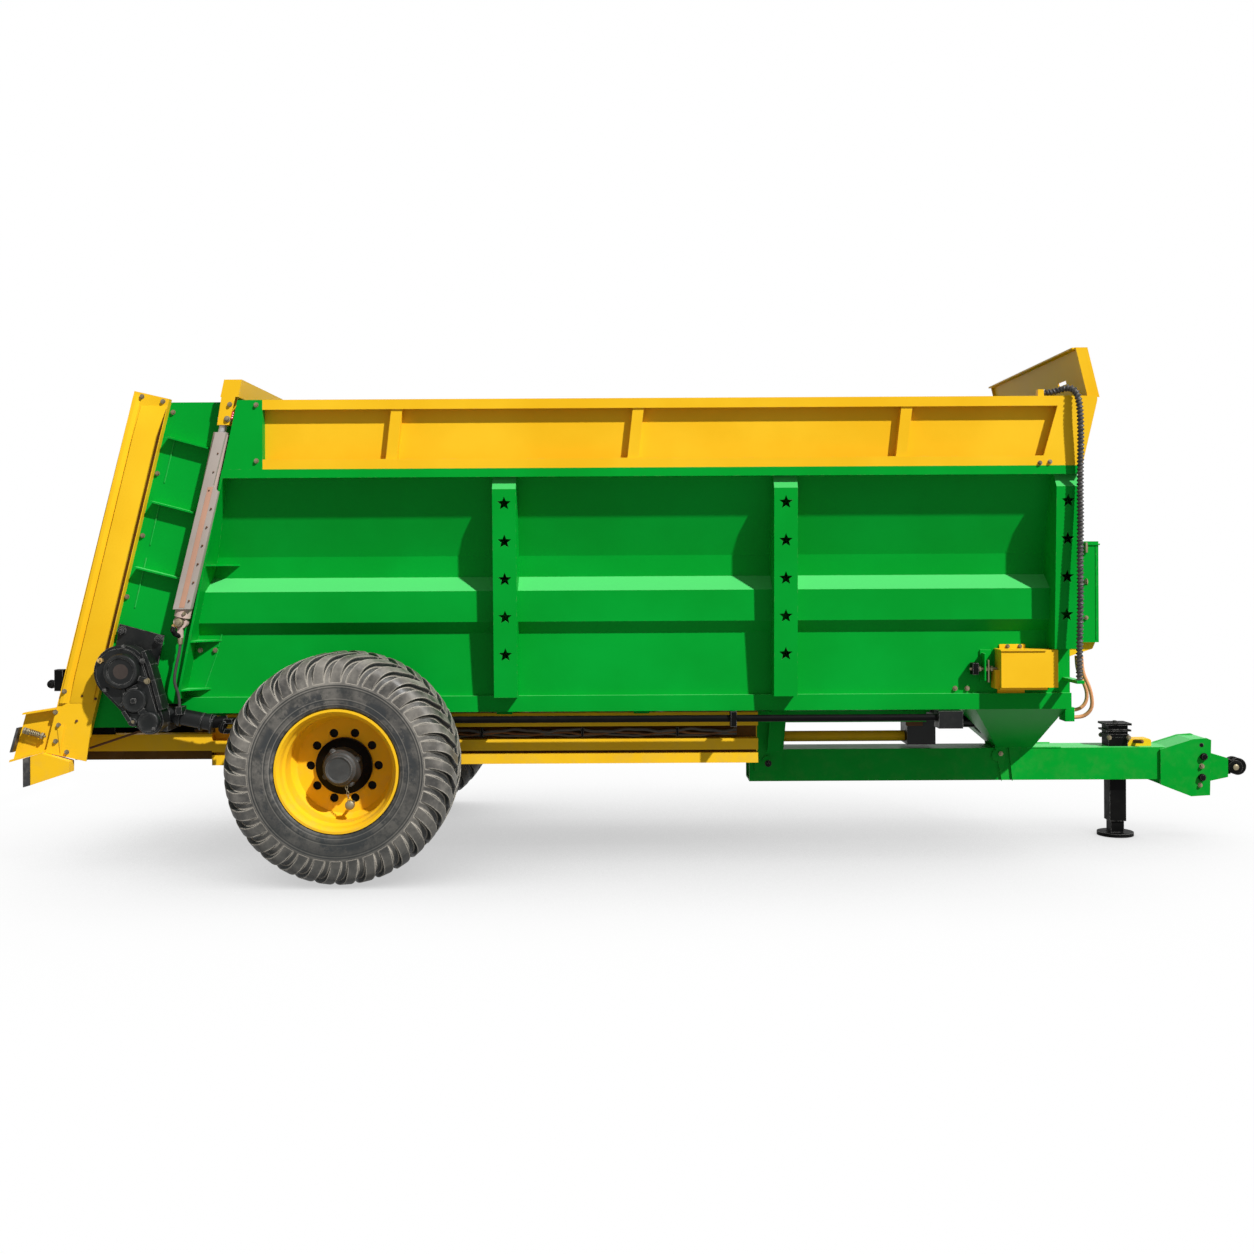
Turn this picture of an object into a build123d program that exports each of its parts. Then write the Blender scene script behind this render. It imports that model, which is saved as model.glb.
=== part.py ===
"""Towed manure spreader: hopper body on two wheels, with a lifting rear door, two lying beaters,
two spinning discs, a sprung drawbar and a parking jack.

Frame: millimetres, +X towards the drawbar, +Y to the machine's left, +Z up. The origin is on the
ground, under the middle of the whole machine. Right is -Y. Sideways places are given as "out",
the distance from the centre plane, and are drawn on the right and mirrored to the left.
"""

import os
from math import cos, pi, radians, sin, tan

from build123d import *

# ---------------------------------------------------------------- driving dimensions
# Body
BODY_FRONT = 2124.0
BODY_LENGTH = 4606.0
BODY_BASE = 793.0
FLOOR_TOP = 905.0
LOWER_OUT = 680.0
WAIST_TOP = 1600.0
WAIST_BASE = 1490.0
RIB_TOP = 1420.0
RIB_BASE = 1260.0
PANEL_TOP = 1200.0
RAIL_BASE = 2000.0
RAIL_HEIGHT = 44.0
BASE_RAIL_HEIGHT = 82.0
WALL = 8.0
REAR_LEAN = 12.4
FLANGE = 12.0

# Posts with their star cut-outs
POST_WIDTH = 120.0
POST_SHEET = 8.0
POST_PITCH = 1431.0
POST_OUT_BASE = LOWER_OUT + 120.0
POST_OUT_TOP = LOWER_OUT + 180.0
STAR_RADIUS = 36.0
STAR_PITCH = 193.0
STAR_TOP_Z = 1865.0

# Wheels
AXLE_SETBACK = 902.0
TRACK_OUT = 1000.0
TYRE_RADIUS = 565.0
TYRE_WIDTH = 480.0
RIM_SEAT = 286.0
RIM_FLANGE = 300.0
HUB_PILOT = 140.5
AXLE_BEAM = 130.0
STUB_RADIUS = 45.0

# Chassis and drawbar
CHASSIS_BASE = 508.0
CHASSIS_TOP = 775.0
CHASSIS_OUT = 600.0
CHASSIS_DEPTH = 75.0
CHASSIS_SHEET = 12.0
CHASSIS_REACH = 1614.0
DRAWBAR_BASE = 330.0
DRAWBAR_HEIGHT = 180.0
DRAWBAR_WIDTH = 200.0
DRAWBAR_REACH = 776.0
DRAWBAR_SHEET = 10.0
TOW_Z = 390.0
TOW_REACH = 1158.0
TOW_RADIUS = 48.0
TOW_BORE = 16.0

# Jack
JACK_REACH = 476.0
JACK_LEG = 93.0
JACK_WALL = 8.0
JACK_FIT = 0.3
JACK_TOP = 640.0

# Boards, visor and rear chamber
BOARD_TOP = 2396.0
BOARD_OUT = 860.0
BOARD_DEPTH = 60.0
VISOR_TOP = 2650.0
CHAMBER_OUT = 770.0
CHAMBER_SHEET = 8.0
CHAMBER_TOP = 2396.0
FRAME_OUT = 810.0
FRAME_SHEET = 8.0
FRAME_TOP = 2409.0
FRAME_SETBACK = 23.0
FRAME_LEAN = 13.8

# Rear door and its two cylinders
DOOR_DEPTH = 40.0
DOOR_GAP = 7.0
DOOR_LIFT = 850.0
CYLINDER_OUT = 830.0
CYLINDER_RADIUS = 40.0
CYLINDER_BORE = 30.0
ROD_RADIUS = 20.0
RUN_FIT = 0.3

# Beaters and discs
BEATER_SETBACK = 240.0
BEATER_Z = 1025.0
BEATER_SPACING = 500.0
BEATER_TUBE = 85.0
BEATER_TIP = 210.0
BEATER_STUB = 35.0
DISC_SETBACK = 318.0
DISC_OUT = 262.0
DISC_RADIUS = 225.0
VANE_TIP = 245.0
DISC_BASE = 615.0
DISC_SHEET = 8.0
VANE_HEIGHT = 80.0

# Floor conveyor
CHAIN_OUT = 350.0
CHAIN_WIDTH = 30.0
CHAIN_PITCH_RADIUS = 50.0
CHAIN_THICKNESS = 10.0
SLAT_WIDTH = 40.0
SLAT_HEIGHT = 30.0
SLAT_PITCH = 360.0
SHAFT_RADIUS = 25.0
SHAFT_SETBACK = 78.0

# ---------------------------------------------------------------- worked-out places
LEAN = tan(radians(REAR_LEAN))
BODY_REAR = BODY_FRONT - BODY_LENGTH
AXLE_X = BODY_REAR + AXLE_SETBACK
FRAME_FRONT_X = BODY_REAR - FRAME_SETBACK
BEATER_X = BODY_REAR - BEATER_SETBACK
DISC_X = BODY_REAR - DISC_SETBACK
CHASSIS_FRONT = BODY_FRONT - CHASSIS_REACH
DRAWBAR_FRONT = BODY_FRONT + DRAWBAR_REACH
JACK_X = BODY_FRONT + JACK_REACH
TOW_X = BODY_FRONT + TOW_REACH
WALL_TOP_OUT = LOWER_OUT + 90.0
BASE_RAIL_OUT = LOWER_OUT + 25.0
BASE_RAIL_IN = LOWER_OUT - 35.0
INNER_OUT = LOWER_OUT - WALL
RAIL_TOP = RAIL_BASE + RAIL_HEIGHT
BASE_RAIL_TOP = BODY_BASE + BASE_RAIL_HEIGHT

# The wall's outer face, from the top rail down: (out, height)
WALL_SECTION = (
    (WALL_TOP_OUT, RAIL_BASE),
    (LOWER_OUT - 38.0, WAIST_TOP),
    (LOWER_OUT - 44.0, WAIST_BASE),
    (LOWER_OUT + 56.0, RIB_TOP),
    (LOWER_OUT + 50.0, RIB_BASE),
    (LOWER_OUT, PANEL_TOP),
    (LOWER_OUT, BASE_RAIL_TOP),
)


# ---------------------------------------------------------------- helpers
def save(piece, label):
    """Name a finished piece and write it to its own file."""
    piece.part.label = label
    export_step(piece.part, f"parts/{label}.step")


def block(x, y, z, mode=Mode.ADD):
    """A box between two places on each axis."""
    with Locations(((x[0] + x[1]) / 2, (y[0] + y[1]) / 2, (z[0] + z[1]) / 2)):
        Box(abs(x[1] - x[0]), abs(y[1] - y[0]), abs(z[1] - z[0]), mode=mode)


def prism(plane, outline, depth, mode=Mode.ADD):
    """A closed straight-sided outline, drawn on a plane and pushed along its normal."""
    with BuildSketch(plane) as face:
        with BuildLine():
            Polyline(*outline, close=True)
        make_face()
    extrude(face.sketch, amount=depth, mode=mode)


def side_plate(out, thickness, outline, mode=Mode.ADD):
    """A plate on the right, drawn from the side as (x, height), from a distance out and outwards."""
    prism(Plane.XZ.offset(out), outline, thickness, mode)


def cross_plate(half_width, outline, mode=Mode.ADD):
    """A piece drawn from the side as (x, height) that runs across the machine."""
    prism(Plane.XZ.offset(-half_width), outline, 2 * half_width, mode)


def rod(start, end, radius, mode=Mode.ADD):
    """A round bar between two points."""
    along = Vector(*end) - Vector(*start)
    with BuildSketch(Plane(origin=start, z_dir=along)) as ring:
        Circle(radius)
    extrude(ring.sketch, amount=along.length, mode=mode)


def rear_x(height, behind=0.0):
    """X of the body's leaning rear edge at a height, or of a line some way behind it."""
    return BODY_REAR + (height - BASE_RAIL_TOP) * LEAN - behind


def strip(low, high, front, rear):
    """A band that leans with the rear edge, between two heights, as (x, height) corners."""
    return [
        (rear_x(low, front), low),
        (rear_x(high, front), high),
        (rear_x(high, rear), high),
        (rear_x(low, rear), low),
    ]


def frame_front(height):
    """X of the rear frame's front edge at a height."""
    return FRAME_FRONT_X + (height - FRAME_TOP) * tan(radians(FRAME_LEAN))


def post_out(height):
    """Distance out of the posts' outer plane at a height."""
    share = (height - BASE_RAIL_TOP) / (RAIL_BASE - BASE_RAIL_TOP)
    return POST_OUT_BASE + share * (POST_OUT_TOP - POST_OUT_BASE)


def wall_out(height):
    """Distance out of the wall's outer face at a height."""
    for (upper_out, upper), (lower_out, lower) in zip(WALL_SECTION, WALL_SECTION[1:]):
        if lower <= height <= upper:
            return lower_out + (upper_out - lower_out) * (height - lower) / (upper - lower)
    return LOWER_OUT


def wall_points(low, high):
    """The wall's outer face as (-out, height) points, between two heights, from the top down."""
    between = [(out, z) for out, z in WALL_SECTION if low < z < high]
    points = [(wall_out(high), high), *between, (wall_out(low), low)]
    return [(-out, z) for out, z in points]


def post_section(low, high, inset=0.0):
    """Section of a post, from its outer plane in to the wall, with its sloping cap."""
    cap = 62.0
    outer = [
        (-post_out(low) + inset, low + inset),
        (-post_out(high - cap) + inset, high - cap - inset),
        (-wall_out(high) - 40.0 + inset, high - inset),
    ]
    return outer + wall_points(low + inset, high - inset)


os.makedirs("parts", exist_ok=True)

# ---------------------------------------------------------------- body sides
CUT_REAR = BODY_REAR - 300.0
with BuildPart() as rear_flange:
    prism(
        Plane.YZ.offset(CUT_REAR),
        [
            (-LOWER_OUT, BASE_RAIL_TOP),
            (-POST_OUT_BASE, BASE_RAIL_TOP),
            (-POST_OUT_TOP, RAIL_BASE),
            *wall_points(BASE_RAIL_TOP, RAIL_BASE)[:-1],
        ],
        900.0,
    )
    side_plate(LOWER_OUT - 80.0, 400.0, strip(BODY_BASE, RAIL_BASE, -FLANGE, 0.0), Mode.INTERSECT)

with BuildPart() as body_side_right:
    sheet = [(-out, z) for out, z in WALL_SECTION]
    inner = [(y + WALL, z) for y, z in reversed(sheet)]
    prism(Plane.YZ.offset(CUT_REAR), sheet + inner, BODY_FRONT - CUT_REAR)
    block((CUT_REAR, BODY_FRONT), (-POST_OUT_TOP, -WALL_TOP_OUT + WALL), (RAIL_BASE, RAIL_TOP))
    block((CUT_REAR, BODY_FRONT), (-BASE_RAIL_OUT, -BASE_RAIL_IN), (BODY_BASE, BASE_RAIL_TOP))
    side_plate(
        BASE_RAIL_IN - 100.0,
        500.0,
        [
            (rear_x(BODY_BASE - 50.0), BODY_BASE - 50.0),
            (rear_x(RAIL_TOP + 50.0), RAIL_TOP + 50.0),
            (CUT_REAR - 50.0, RAIL_TOP + 50.0),
            (CUT_REAR - 50.0, BODY_BASE - 50.0),
        ],
        Mode.SUBTRACT,
    )
    add(rear_flange.part)
    for gusset_z in (1555.0, 1165.0, 915.0):
        foot = rear_x(gusset_z) + FLANGE
        prism(
            Plane.XY.offset(gusset_z),
            [
                (foot, -wall_out(gusset_z)),
                (foot, -post_out(gusset_z) + 8.0),
                (foot + 125.0, -wall_out(gusset_z)),
            ],
            8.0,
        )
save(body_side_right, "body_side_right")

with BuildPart() as body_side_left:
    mirror(body_side_right.part, about=Plane.XZ)
save(body_side_left, "body_side_left")

# ---------------------------------------------------------------- side posts, with star cut-outs
STAR_POINTS = 5
STAR_WAIST = 0.44
post_top = RAIL_BASE
# Post's rear edge, underside height and number of stars, from the front corner back
posts = [
    (BODY_FRONT - POST_WIDTH, 1110.0, 4),
    (BODY_FRONT - POST_WIDTH - POST_PITCH, BASE_RAIL_TOP, 5),
    (BODY_FRONT - POST_WIDTH - 2 * POST_PITCH, BASE_RAIL_TOP, 5),
]
with BuildPart() as side_posts:
    for left_edge, post_base, star_count in posts:
        prism(Plane.YZ.offset(left_edge), post_section(post_base, post_top), POST_WIDTH)
        prism(
            Plane.YZ.offset(left_edge + POST_SHEET),
            post_section(post_base, post_top, POST_SHEET),
            POST_WIDTH - 2 * POST_SHEET,
            Mode.SUBTRACT,
        )
        for number in range(star_count):
            star_z = STAR_TOP_Z - number * STAR_PITCH
            with BuildSketch(Plane.XZ.offset(post_out(star_z) - 3 * POST_SHEET)) as star:
                with BuildLine():
                    tips = []
                    for corner in range(2 * STAR_POINTS):
                        reach = STAR_RADIUS if corner % 2 == 0 else STAR_RADIUS * STAR_WAIST
                        turn = radians(90.0 + corner * 180.0 / STAR_POINTS)
                        tips.append(
                            (
                                left_edge + POST_WIDTH / 2 + reach * cos(turn),
                                star_z + reach * sin(turn),
                            )
                        )
                    Polyline(*tips, close=True)
                make_face()
            extrude(star.sketch, amount=5 * POST_SHEET, mode=Mode.SUBTRACT)
    mirror(about=Plane.XZ)
save(side_posts, "side_posts")

# ---------------------------------------------------------------- front wall and floor
# The hollow's section on one side, from the underside up: (out, height)
HOLLOW_SECTION = (
    (BASE_RAIL_IN, BODY_BASE),
    (BASE_RAIL_IN, BASE_RAIL_TOP),
    *((out - WALL, z) for out, z in reversed(WALL_SECTION)),
    (WALL_TOP_OUT - WALL, RAIL_TOP),
)
FRONT_SHAFT_X = BODY_FRONT - SHAFT_SETBACK
REAR_SHAFT_X = BODY_REAR + SHAFT_SETBACK
FLOOR_SHEET = 12.0
FLOOR_FRONT = FRONT_SHAFT_X - CHAIN_PITCH_RADIUS - 6.0
with BuildPart() as body_front:
    right_half = [(-out, z) for out, z in HOLLOW_SECTION]
    left_half = [(out, z) for out, z in reversed(HOLLOW_SECTION)]
    prism(Plane.YZ.offset(BODY_FRONT - WALL), right_half + left_half, WALL)
    cross_plate(
        INNER_OUT,
        [
            (BODY_FRONT - WALL, FLOOR_TOP + 141.0),
            (BODY_FRONT - WALL, FLOOR_TOP + 133.0),
            (FLOOR_FRONT - 30.0, FLOOR_TOP + 42.0),
            (FLOOR_FRONT - 30.0, FLOOR_TOP + 50.0),
        ],
    )
    for rib_z in (1000.0, WAIST_BASE, 1800.0):
        block((BODY_FRONT, BODY_FRONT + 45.0), (-440.0, 600.0), (rib_z, rib_z + 60.0))
save(body_front, "body_front")

with BuildPart() as body_floor:
    block(
        (REAR_SHAFT_X + CHAIN_PITCH_RADIUS + 6.0, FLOOR_FRONT),
        (-INNER_OUT, INNER_OUT),
        (FLOOR_TOP - FLOOR_SHEET, FLOOR_TOP),
    )
    for out in (-500.0, -200.0, 200.0, 500.0):
        block(
            (REAR_SHAFT_X + 80.0, FLOOR_FRONT - 30.0),
            (out - 20.0, out + 20.0),
            (FLOOR_TOP - 60.0, FLOOR_TOP - FLOOR_SHEET),
        )
save(body_floor, "body_floor")

# ---------------------------------------------------------------- floor conveyor
CHAIN_Z = FLOOR_TOP + SLAT_HEIGHT / 2 - CHAIN_PITCH_RADIUS
SPROCKET_RADIUS = CHAIN_PITCH_RADIUS - CHAIN_THICKNESS / 2 - RUN_FIT
SLAT_OUT = INNER_OUT - 32.0
SLAT_COUNT = int((FRONT_SHAFT_X - REAR_SHAFT_X - 2 * SLAT_WIDTH) / SLAT_PITCH)
with BuildPart() as floor_chain:
    for out in (-CHAIN_OUT, CHAIN_OUT):
        with BuildSketch(Plane.XZ.offset(out - CHAIN_WIDTH / 2)) as loop:
            with Locations(((FRONT_SHAFT_X + REAR_SHAFT_X) / 2, CHAIN_Z)):
                reach = FRONT_SHAFT_X - REAR_SHAFT_X
                SlotCenterToCenter(reach, 2 * CHAIN_PITCH_RADIUS + CHAIN_THICKNESS)
                SlotCenterToCenter(
                    reach, 2 * CHAIN_PITCH_RADIUS - CHAIN_THICKNESS, mode=Mode.SUBTRACT
                )
        extrude(loop.sketch, amount=CHAIN_WIDTH)
    first = (FRONT_SHAFT_X + REAR_SHAFT_X - (SLAT_COUNT - 1) * SLAT_PITCH) / 2
    for number in range(SLAT_COUNT):
        slat = (first + number * SLAT_PITCH - SLAT_WIDTH / 2, first + number * SLAT_PITCH + SLAT_WIDTH / 2)
        for run_z in (CHAIN_Z - CHAIN_PITCH_RADIUS, CHAIN_Z + CHAIN_PITCH_RADIUS):
            block(slat, (-SLAT_OUT, SLAT_OUT), (run_z - SLAT_HEIGHT / 2, run_z + SLAT_HEIGHT / 2))
save(floor_chain, "floor_chain")

with BuildPart() as floor_shafts:
    for shaft_x in (REAR_SHAFT_X, FRONT_SHAFT_X):
        rod((shaft_x, -BASE_RAIL_IN, CHAIN_Z), (shaft_x, BASE_RAIL_IN, CHAIN_Z), SHAFT_RADIUS)
        for out in (-CHAIN_OUT, CHAIN_OUT):
            rod((shaft_x, out - 8.0, CHAIN_Z), (shaft_x, out + 8.0, CHAIN_Z), SPROCKET_RADIUS)
save(floor_shafts, "floor_shafts")

# ---------------------------------------------------------------- chassis
BEARER_OUT = BASE_RAIL_IN + 10.0
BEARER_WIDTH = 80.0
CHASSIS_REAR = BODY_REAR + 122.0
# Arms that carry the discs' beam, behind the main rails
ARM_REAR = DISC_X - 280.0
ARM_BASE = 585.0
ARM_TOP = 672.0
ARM_SHOE = 45.0
bearers = (
    CHASSIS_REAR,
    AXLE_X + 300.0,
    BODY_FRONT - POST_WIDTH - 2 * POST_PITCH,
    BODY_FRONT - POST_WIDTH - 1.5 * POST_PITCH,
    BODY_FRONT - POST_WIDTH - POST_PITCH,
    BODY_FRONT - 804.0,
)
# Sills that carry on from the main rails to the front bearer
CHASSIS_IN = CHASSIS_OUT - CHASSIS_DEPTH
SILL_OUT = CHASSIS_IN + 50.0
SILL_FRONT = BODY_FRONT - 724.0
with BuildPart() as body_bearers:
    for bearer_x in bearers:
        block(
            (bearer_x, bearer_x + BEARER_WIDTH),
            (-BEARER_OUT, BEARER_OUT),
            (CHASSIS_TOP, BODY_BASE),
        )
    for near, far in ((-SILL_OUT, -CHASSIS_IN), (CHASSIS_IN, SILL_OUT)):
        block((CHASSIS_FRONT, SILL_FRONT), (near, far), (CHASSIS_TOP - 60.0, CHASSIS_TOP))
save(body_bearers, "body_bearers")

# Section of the right main rail: two pressed ribs below an open recess, and a top rib
RAIL_SECTION = [
    (-CHASSIS_IN, CHASSIS_BASE),
    (-CHASSIS_OUT, CHASSIS_BASE),
    (-CHASSIS_OUT, CHASSIS_BASE + 53.0),
    (-CHASSIS_OUT + 40.0, CHASSIS_BASE + 53.0),
    (-CHASSIS_OUT + 40.0, CHASSIS_BASE + 69.0),
    (-CHASSIS_OUT, CHASSIS_BASE + 69.0),
    (-CHASSIS_OUT, CHASSIS_BASE + 127.0),
    (-CHASSIS_IN - CHASSIS_SHEET, CHASSIS_BASE + 127.0),
    (-CHASSIS_IN - CHASSIS_SHEET, CHASSIS_TOP - 72.0),
    (-CHASSIS_OUT, CHASSIS_TOP - 72.0),
    (-CHASSIS_OUT, CHASSIS_TOP),
    (-CHASSIS_IN, CHASSIS_TOP),
]
with BuildPart() as chassis:
    prism(Plane.YZ.offset(CHASSIS_REAR), RAIL_SECTION, CHASSIS_FRONT - CHASSIS_REAR)
    block((ARM_REAR, CHASSIS_REAR), (-CHASSIS_OUT, -CHASSIS_IN), (ARM_BASE, ARM_TOP))
    mirror(about=Plane.XZ)
    for tie_x in (CHASSIS_REAR + 30.0, AXLE_X + 420.0, -400.0, CHASSIS_FRONT - 80.0):
        block((tie_x, tie_x + 80.0), (-CHASSIS_IN, CHASSIS_IN), (CHASSIS_TOP - 70.0, CHASSIS_TOP))
    block(
        (AXLE_X - AXLE_BEAM / 2, AXLE_X + AXLE_BEAM / 2),
        (-CHASSIS_OUT, CHASSIS_OUT),
        (TYRE_RADIUS - AXLE_BEAM / 2, TYRE_RADIUS + AXLE_BEAM / 2),
        Mode.SUBTRACT,
    )
save(chassis, "chassis")

# ---------------------------------------------------------------- axle and wheels
HUB_INNER = TRACK_OUT - 200.0
HUB_OUTER = TRACK_OUT + 130.0
DISC_FACE = TRACK_OUT + 5.0
BEARING_END = TRACK_OUT + 70.0
DISC_PLATE = 14.0
STUD_COUNT = 10
STUD_CIRCLE = 168.0
STUD_HOLE = 22.0
with BuildPart() as axle:
    block(
        (AXLE_X - AXLE_BEAM / 2, AXLE_X + AXLE_BEAM / 2),
        (-HUB_INNER + 60.0, HUB_INNER - 60.0),
        (TYRE_RADIUS - AXLE_BEAM / 2, TYRE_RADIUS + AXLE_BEAM / 2),
    )
    rod((AXLE_X, -BEARING_END, TYRE_RADIUS), (AXLE_X, BEARING_END, TYRE_RADIUS), STUB_RADIUS)
save(axle, "axle")


def turned(plane, outline):
    """A ring turned about the plane's local Y axis, from its (radius, out) outline."""
    with BuildSketch(plane) as section:
        with BuildLine():
            Polyline(*outline, close=True)
        make_face()
    revolve(section.sketch, axis=Axis(plane.origin, plane.y_dir))


def wheel(side, sign):
    """Tyre, rim and hub of one wheel."""
    centre = Plane(
        origin=(AXLE_X, 0, TYRE_RADIUS), x_dir=(1, 0, 0), z_dir=(0, 0, sign)
    )
    half = TYRE_WIDTH / 2
    inner, outer = TRACK_OUT - half, TRACK_OUT + half
    with BuildPart() as tyre:
        turned(
            centre,
            [
                (RIM_SEAT + RUN_FIT, inner + 25.0),
                (RIM_SEAT + RUN_FIT, outer - 25.0),
                (RIM_FLANGE + 2.0, outer - 25.0),
                (RIM_FLANGE + 14.0, outer - 14.0),
                (400.0, outer - 2.0),
                (470.0, outer),
                (530.0, outer - 22.0),
                (TYRE_RADIUS - 8.0, outer - 70.0),
                (TYRE_RADIUS, TRACK_OUT + 60.0),
                (TYRE_RADIUS, TRACK_OUT - 60.0),
                (TYRE_RADIUS - 8.0, inner + 70.0),
                (530.0, inner + 22.0),
                (470.0, inner),
                (400.0, inner + 2.0),
                (RIM_FLANGE + 14.0, inner + 14.0),
                (RIM_FLANGE + 2.0, inner + 25.0),
            ],
        )
    save(tyre, f"wheel_{side}_tyre")
    with BuildPart() as rim:
        turned(
            centre,
            [
                (RIM_FLANGE - 12.0, inner + 12.0),
                (RIM_FLANGE, inner + 12.0),
                (RIM_FLANGE, inner + 24.0),
                (RIM_SEAT, inner + 24.0),
                (RIM_SEAT, outer - 24.0),
                (RIM_FLANGE, outer - 24.0),
                (RIM_FLANGE, outer - 12.0),
                (RIM_FLANGE - 12.0, outer - 12.0),
                (RIM_SEAT - 9.0, outer - 34.0),
                (RIM_SEAT - 15.0, outer - 62.0),
                (RIM_SEAT - 26.0, outer - 82.0),
                (RIM_SEAT - 28.0, DISC_FACE + 52.0),
                (RIM_SEAT - 52.0, DISC_FACE + DISC_PLATE),
                (HUB_PILOT, DISC_FACE + DISC_PLATE),
                (HUB_PILOT, DISC_FACE),
                (RIM_SEAT - 28.0, DISC_FACE),
                (RIM_SEAT - 28.0, inner + 80.0),
                (RIM_SEAT - 14.0, inner + 60.0),
            ],
        )
        for number in range(STUD_COUNT):
            turn = radians(number * 360.0 / STUD_COUNT)
            stud_x = AXLE_X + STUD_CIRCLE * cos(turn)
            stud_z = TYRE_RADIUS + STUD_CIRCLE * sin(turn)
            rod(
                (stud_x, sign * (DISC_FACE - 5.0), stud_z),
                (stud_x, sign * (DISC_FACE + DISC_PLATE + 5.0), stud_z),
                STUD_HOLE,
                Mode.SUBTRACT,
            )
    save(rim, f"wheel_{side}_rim")
    with BuildPart() as hub:
        turned(
            centre,
            [
                (STUB_RADIUS + RUN_FIT, HUB_INNER),
                (150.0, HUB_INNER),
                (170.0, DISC_FACE - 60.0),
                (232.0, DISC_FACE - 20.0),
                (232.0, DISC_FACE),
                (HUB_PILOT - RUN_FIT, DISC_FACE),
                (HUB_PILOT - RUN_FIT, DISC_FACE + 30.0),
                (95.0, DISC_FACE + 60.0),
                (66.0, DISC_FACE + 65.0),
                (66.0, HUB_OUTER),
                (0.0, HUB_OUTER),
                (0.0, BEARING_END + 5.0),
                (STUB_RADIUS + RUN_FIT, BEARING_END + 5.0),
            ],
        )
    save(hub, f"wheel_{side}_hub")


for wheel_side, wheel_sign in (("right", -1), ("left", 1)):
    wheel(wheel_side, wheel_sign)

# ---------------------------------------------------------------- drawbar, its supports and hitch
DRAWBAR_TOP = DRAWBAR_BASE + DRAWBAR_HEIGHT
DRAWBAR_OUT = DRAWBAR_WIDTH / 2
SLEEVE = JACK_LEG + 2 * JACK_FIT + 2 * JACK_WALL
PIVOT = (CHASSIS_FRONT + 94.0, DRAWBAR_BASE + 125.0)
PIVOT_RADIUS = 20.0
HANGER_SHEET = 12.0
with BuildPart() as drawbar:
    block((CHASSIS_FRONT, DRAWBAR_FRONT), (-DRAWBAR_OUT, DRAWBAR_OUT), (DRAWBAR_BASE, DRAWBAR_TOP))
    block(
        (CHASSIS_FRONT, DRAWBAR_FRONT),
        (-DRAWBAR_OUT + DRAWBAR_SHEET, DRAWBAR_OUT - DRAWBAR_SHEET),
        (DRAWBAR_BASE + DRAWBAR_SHEET, DRAWBAR_TOP - DRAWBAR_SHEET),
        Mode.SUBTRACT,
    )
    block(
        (JACK_X - SLEEVE / 2, JACK_X + SLEEVE / 2),
        (-SLEEVE / 2, SLEEVE / 2),
        (DRAWBAR_BASE, DRAWBAR_TOP),
        Mode.SUBTRACT,
    )
    rod(
        (PIVOT[0], -DRAWBAR_OUT, PIVOT[1]),
        (PIVOT[0], DRAWBAR_OUT, PIVOT[1]),
        PIVOT_RADIUS + RUN_FIT,
        Mode.SUBTRACT,
    )
save(drawbar, "drawbar")

with BuildPart() as drawbar_hanger:
    side_plate(
        DRAWBAR_OUT,
        HANGER_SHEET,
        [
            (CHASSIS_FRONT + 10.0, CHASSIS_TOP),
            (CHASSIS_FRONT + 215.0, CHASSIS_TOP),
            (CHASSIS_FRONT + 180.0, DRAWBAR_BASE + 60.0),
            (CHASSIS_FRONT + 30.0, DRAWBAR_BASE + 60.0),
        ],
    )
    side_plate(
        DRAWBAR_OUT + HANGER_SHEET,
        60.0,
        [
            (CHASSIS_FRONT + 190.0, CHASSIS_TOP),
            (CHASSIS_FRONT + 118.0, CHASSIS_TOP),
            (CHASSIS_FRONT + 94.0, DRAWBAR_TOP - 5.0),
            (CHASSIS_FRONT + 166.0, DRAWBAR_TOP - 5.0),
        ],
    )
    mirror(about=Plane.XZ)
    rod(
        (PIVOT[0], -DRAWBAR_OUT - 30.0, PIVOT[1]),
        (PIVOT[0], DRAWBAR_OUT + 30.0, PIVOT[1]),
        PIVOT_RADIUS,
    )
save(drawbar_hanger, "drawbar_hanger")

SUPPORT_SHEET = 10.0
SUPPORT_TOP = (BODY_FRONT - 490.0, BODY_FRONT - 14.0)
SUPPORT_BASE = (BODY_FRONT - 220.0, BODY_FRONT - 24.0)
PTO_Z = 650.0


def funnel(inset, mode):
    """Four leaning plates' outer or inner form, from the body's underside down to the drawbar."""
    with BuildSketch(Plane.XY.offset(DRAWBAR_TOP)) as base:
        with Locations((sum(SUPPORT_BASE) / 2, 0)):
            Rectangle(SUPPORT_BASE[1] - SUPPORT_BASE[0] - 2 * inset, DRAWBAR_WIDTH - 2 * inset)
    with BuildSketch(Plane.XY.offset(BODY_BASE)) as top:
        with Locations((sum(SUPPORT_TOP) / 2, 0)):
            Rectangle(
                SUPPORT_TOP[1] - SUPPORT_TOP[0] - 2 * inset,
                2 * (BASE_RAIL_IN + 20.0 - inset),
            )
    loft([base.sketch, top.sketch], mode=mode)


with BuildPart() as drawbar_support:
    funnel(0.0, Mode.ADD)
    funnel(SUPPORT_SHEET, Mode.SUBTRACT)
    rod((SUPPORT_TOP[0], 0, PTO_Z), (BODY_FRONT + 50.0, 0, PTO_Z), 70.0, Mode.SUBTRACT)
    for rear, front, foot in ((-236.0, -174.0, -199.0), (-159.0, -90.0, -139.0)):
        for side in (DRAWBAR_OUT, -DRAWBAR_OUT - 12.0):
            side_plate(
                side,
                12.0,
                [
                    (BODY_FRONT + rear, DRAWBAR_TOP + 15.0),
                    (BODY_FRONT + front, DRAWBAR_TOP + 15.0),
                    (BODY_FRONT + foot, DRAWBAR_BASE - 4.0),
                ],
            )
save(drawbar_support, "drawbar_support")

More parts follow.
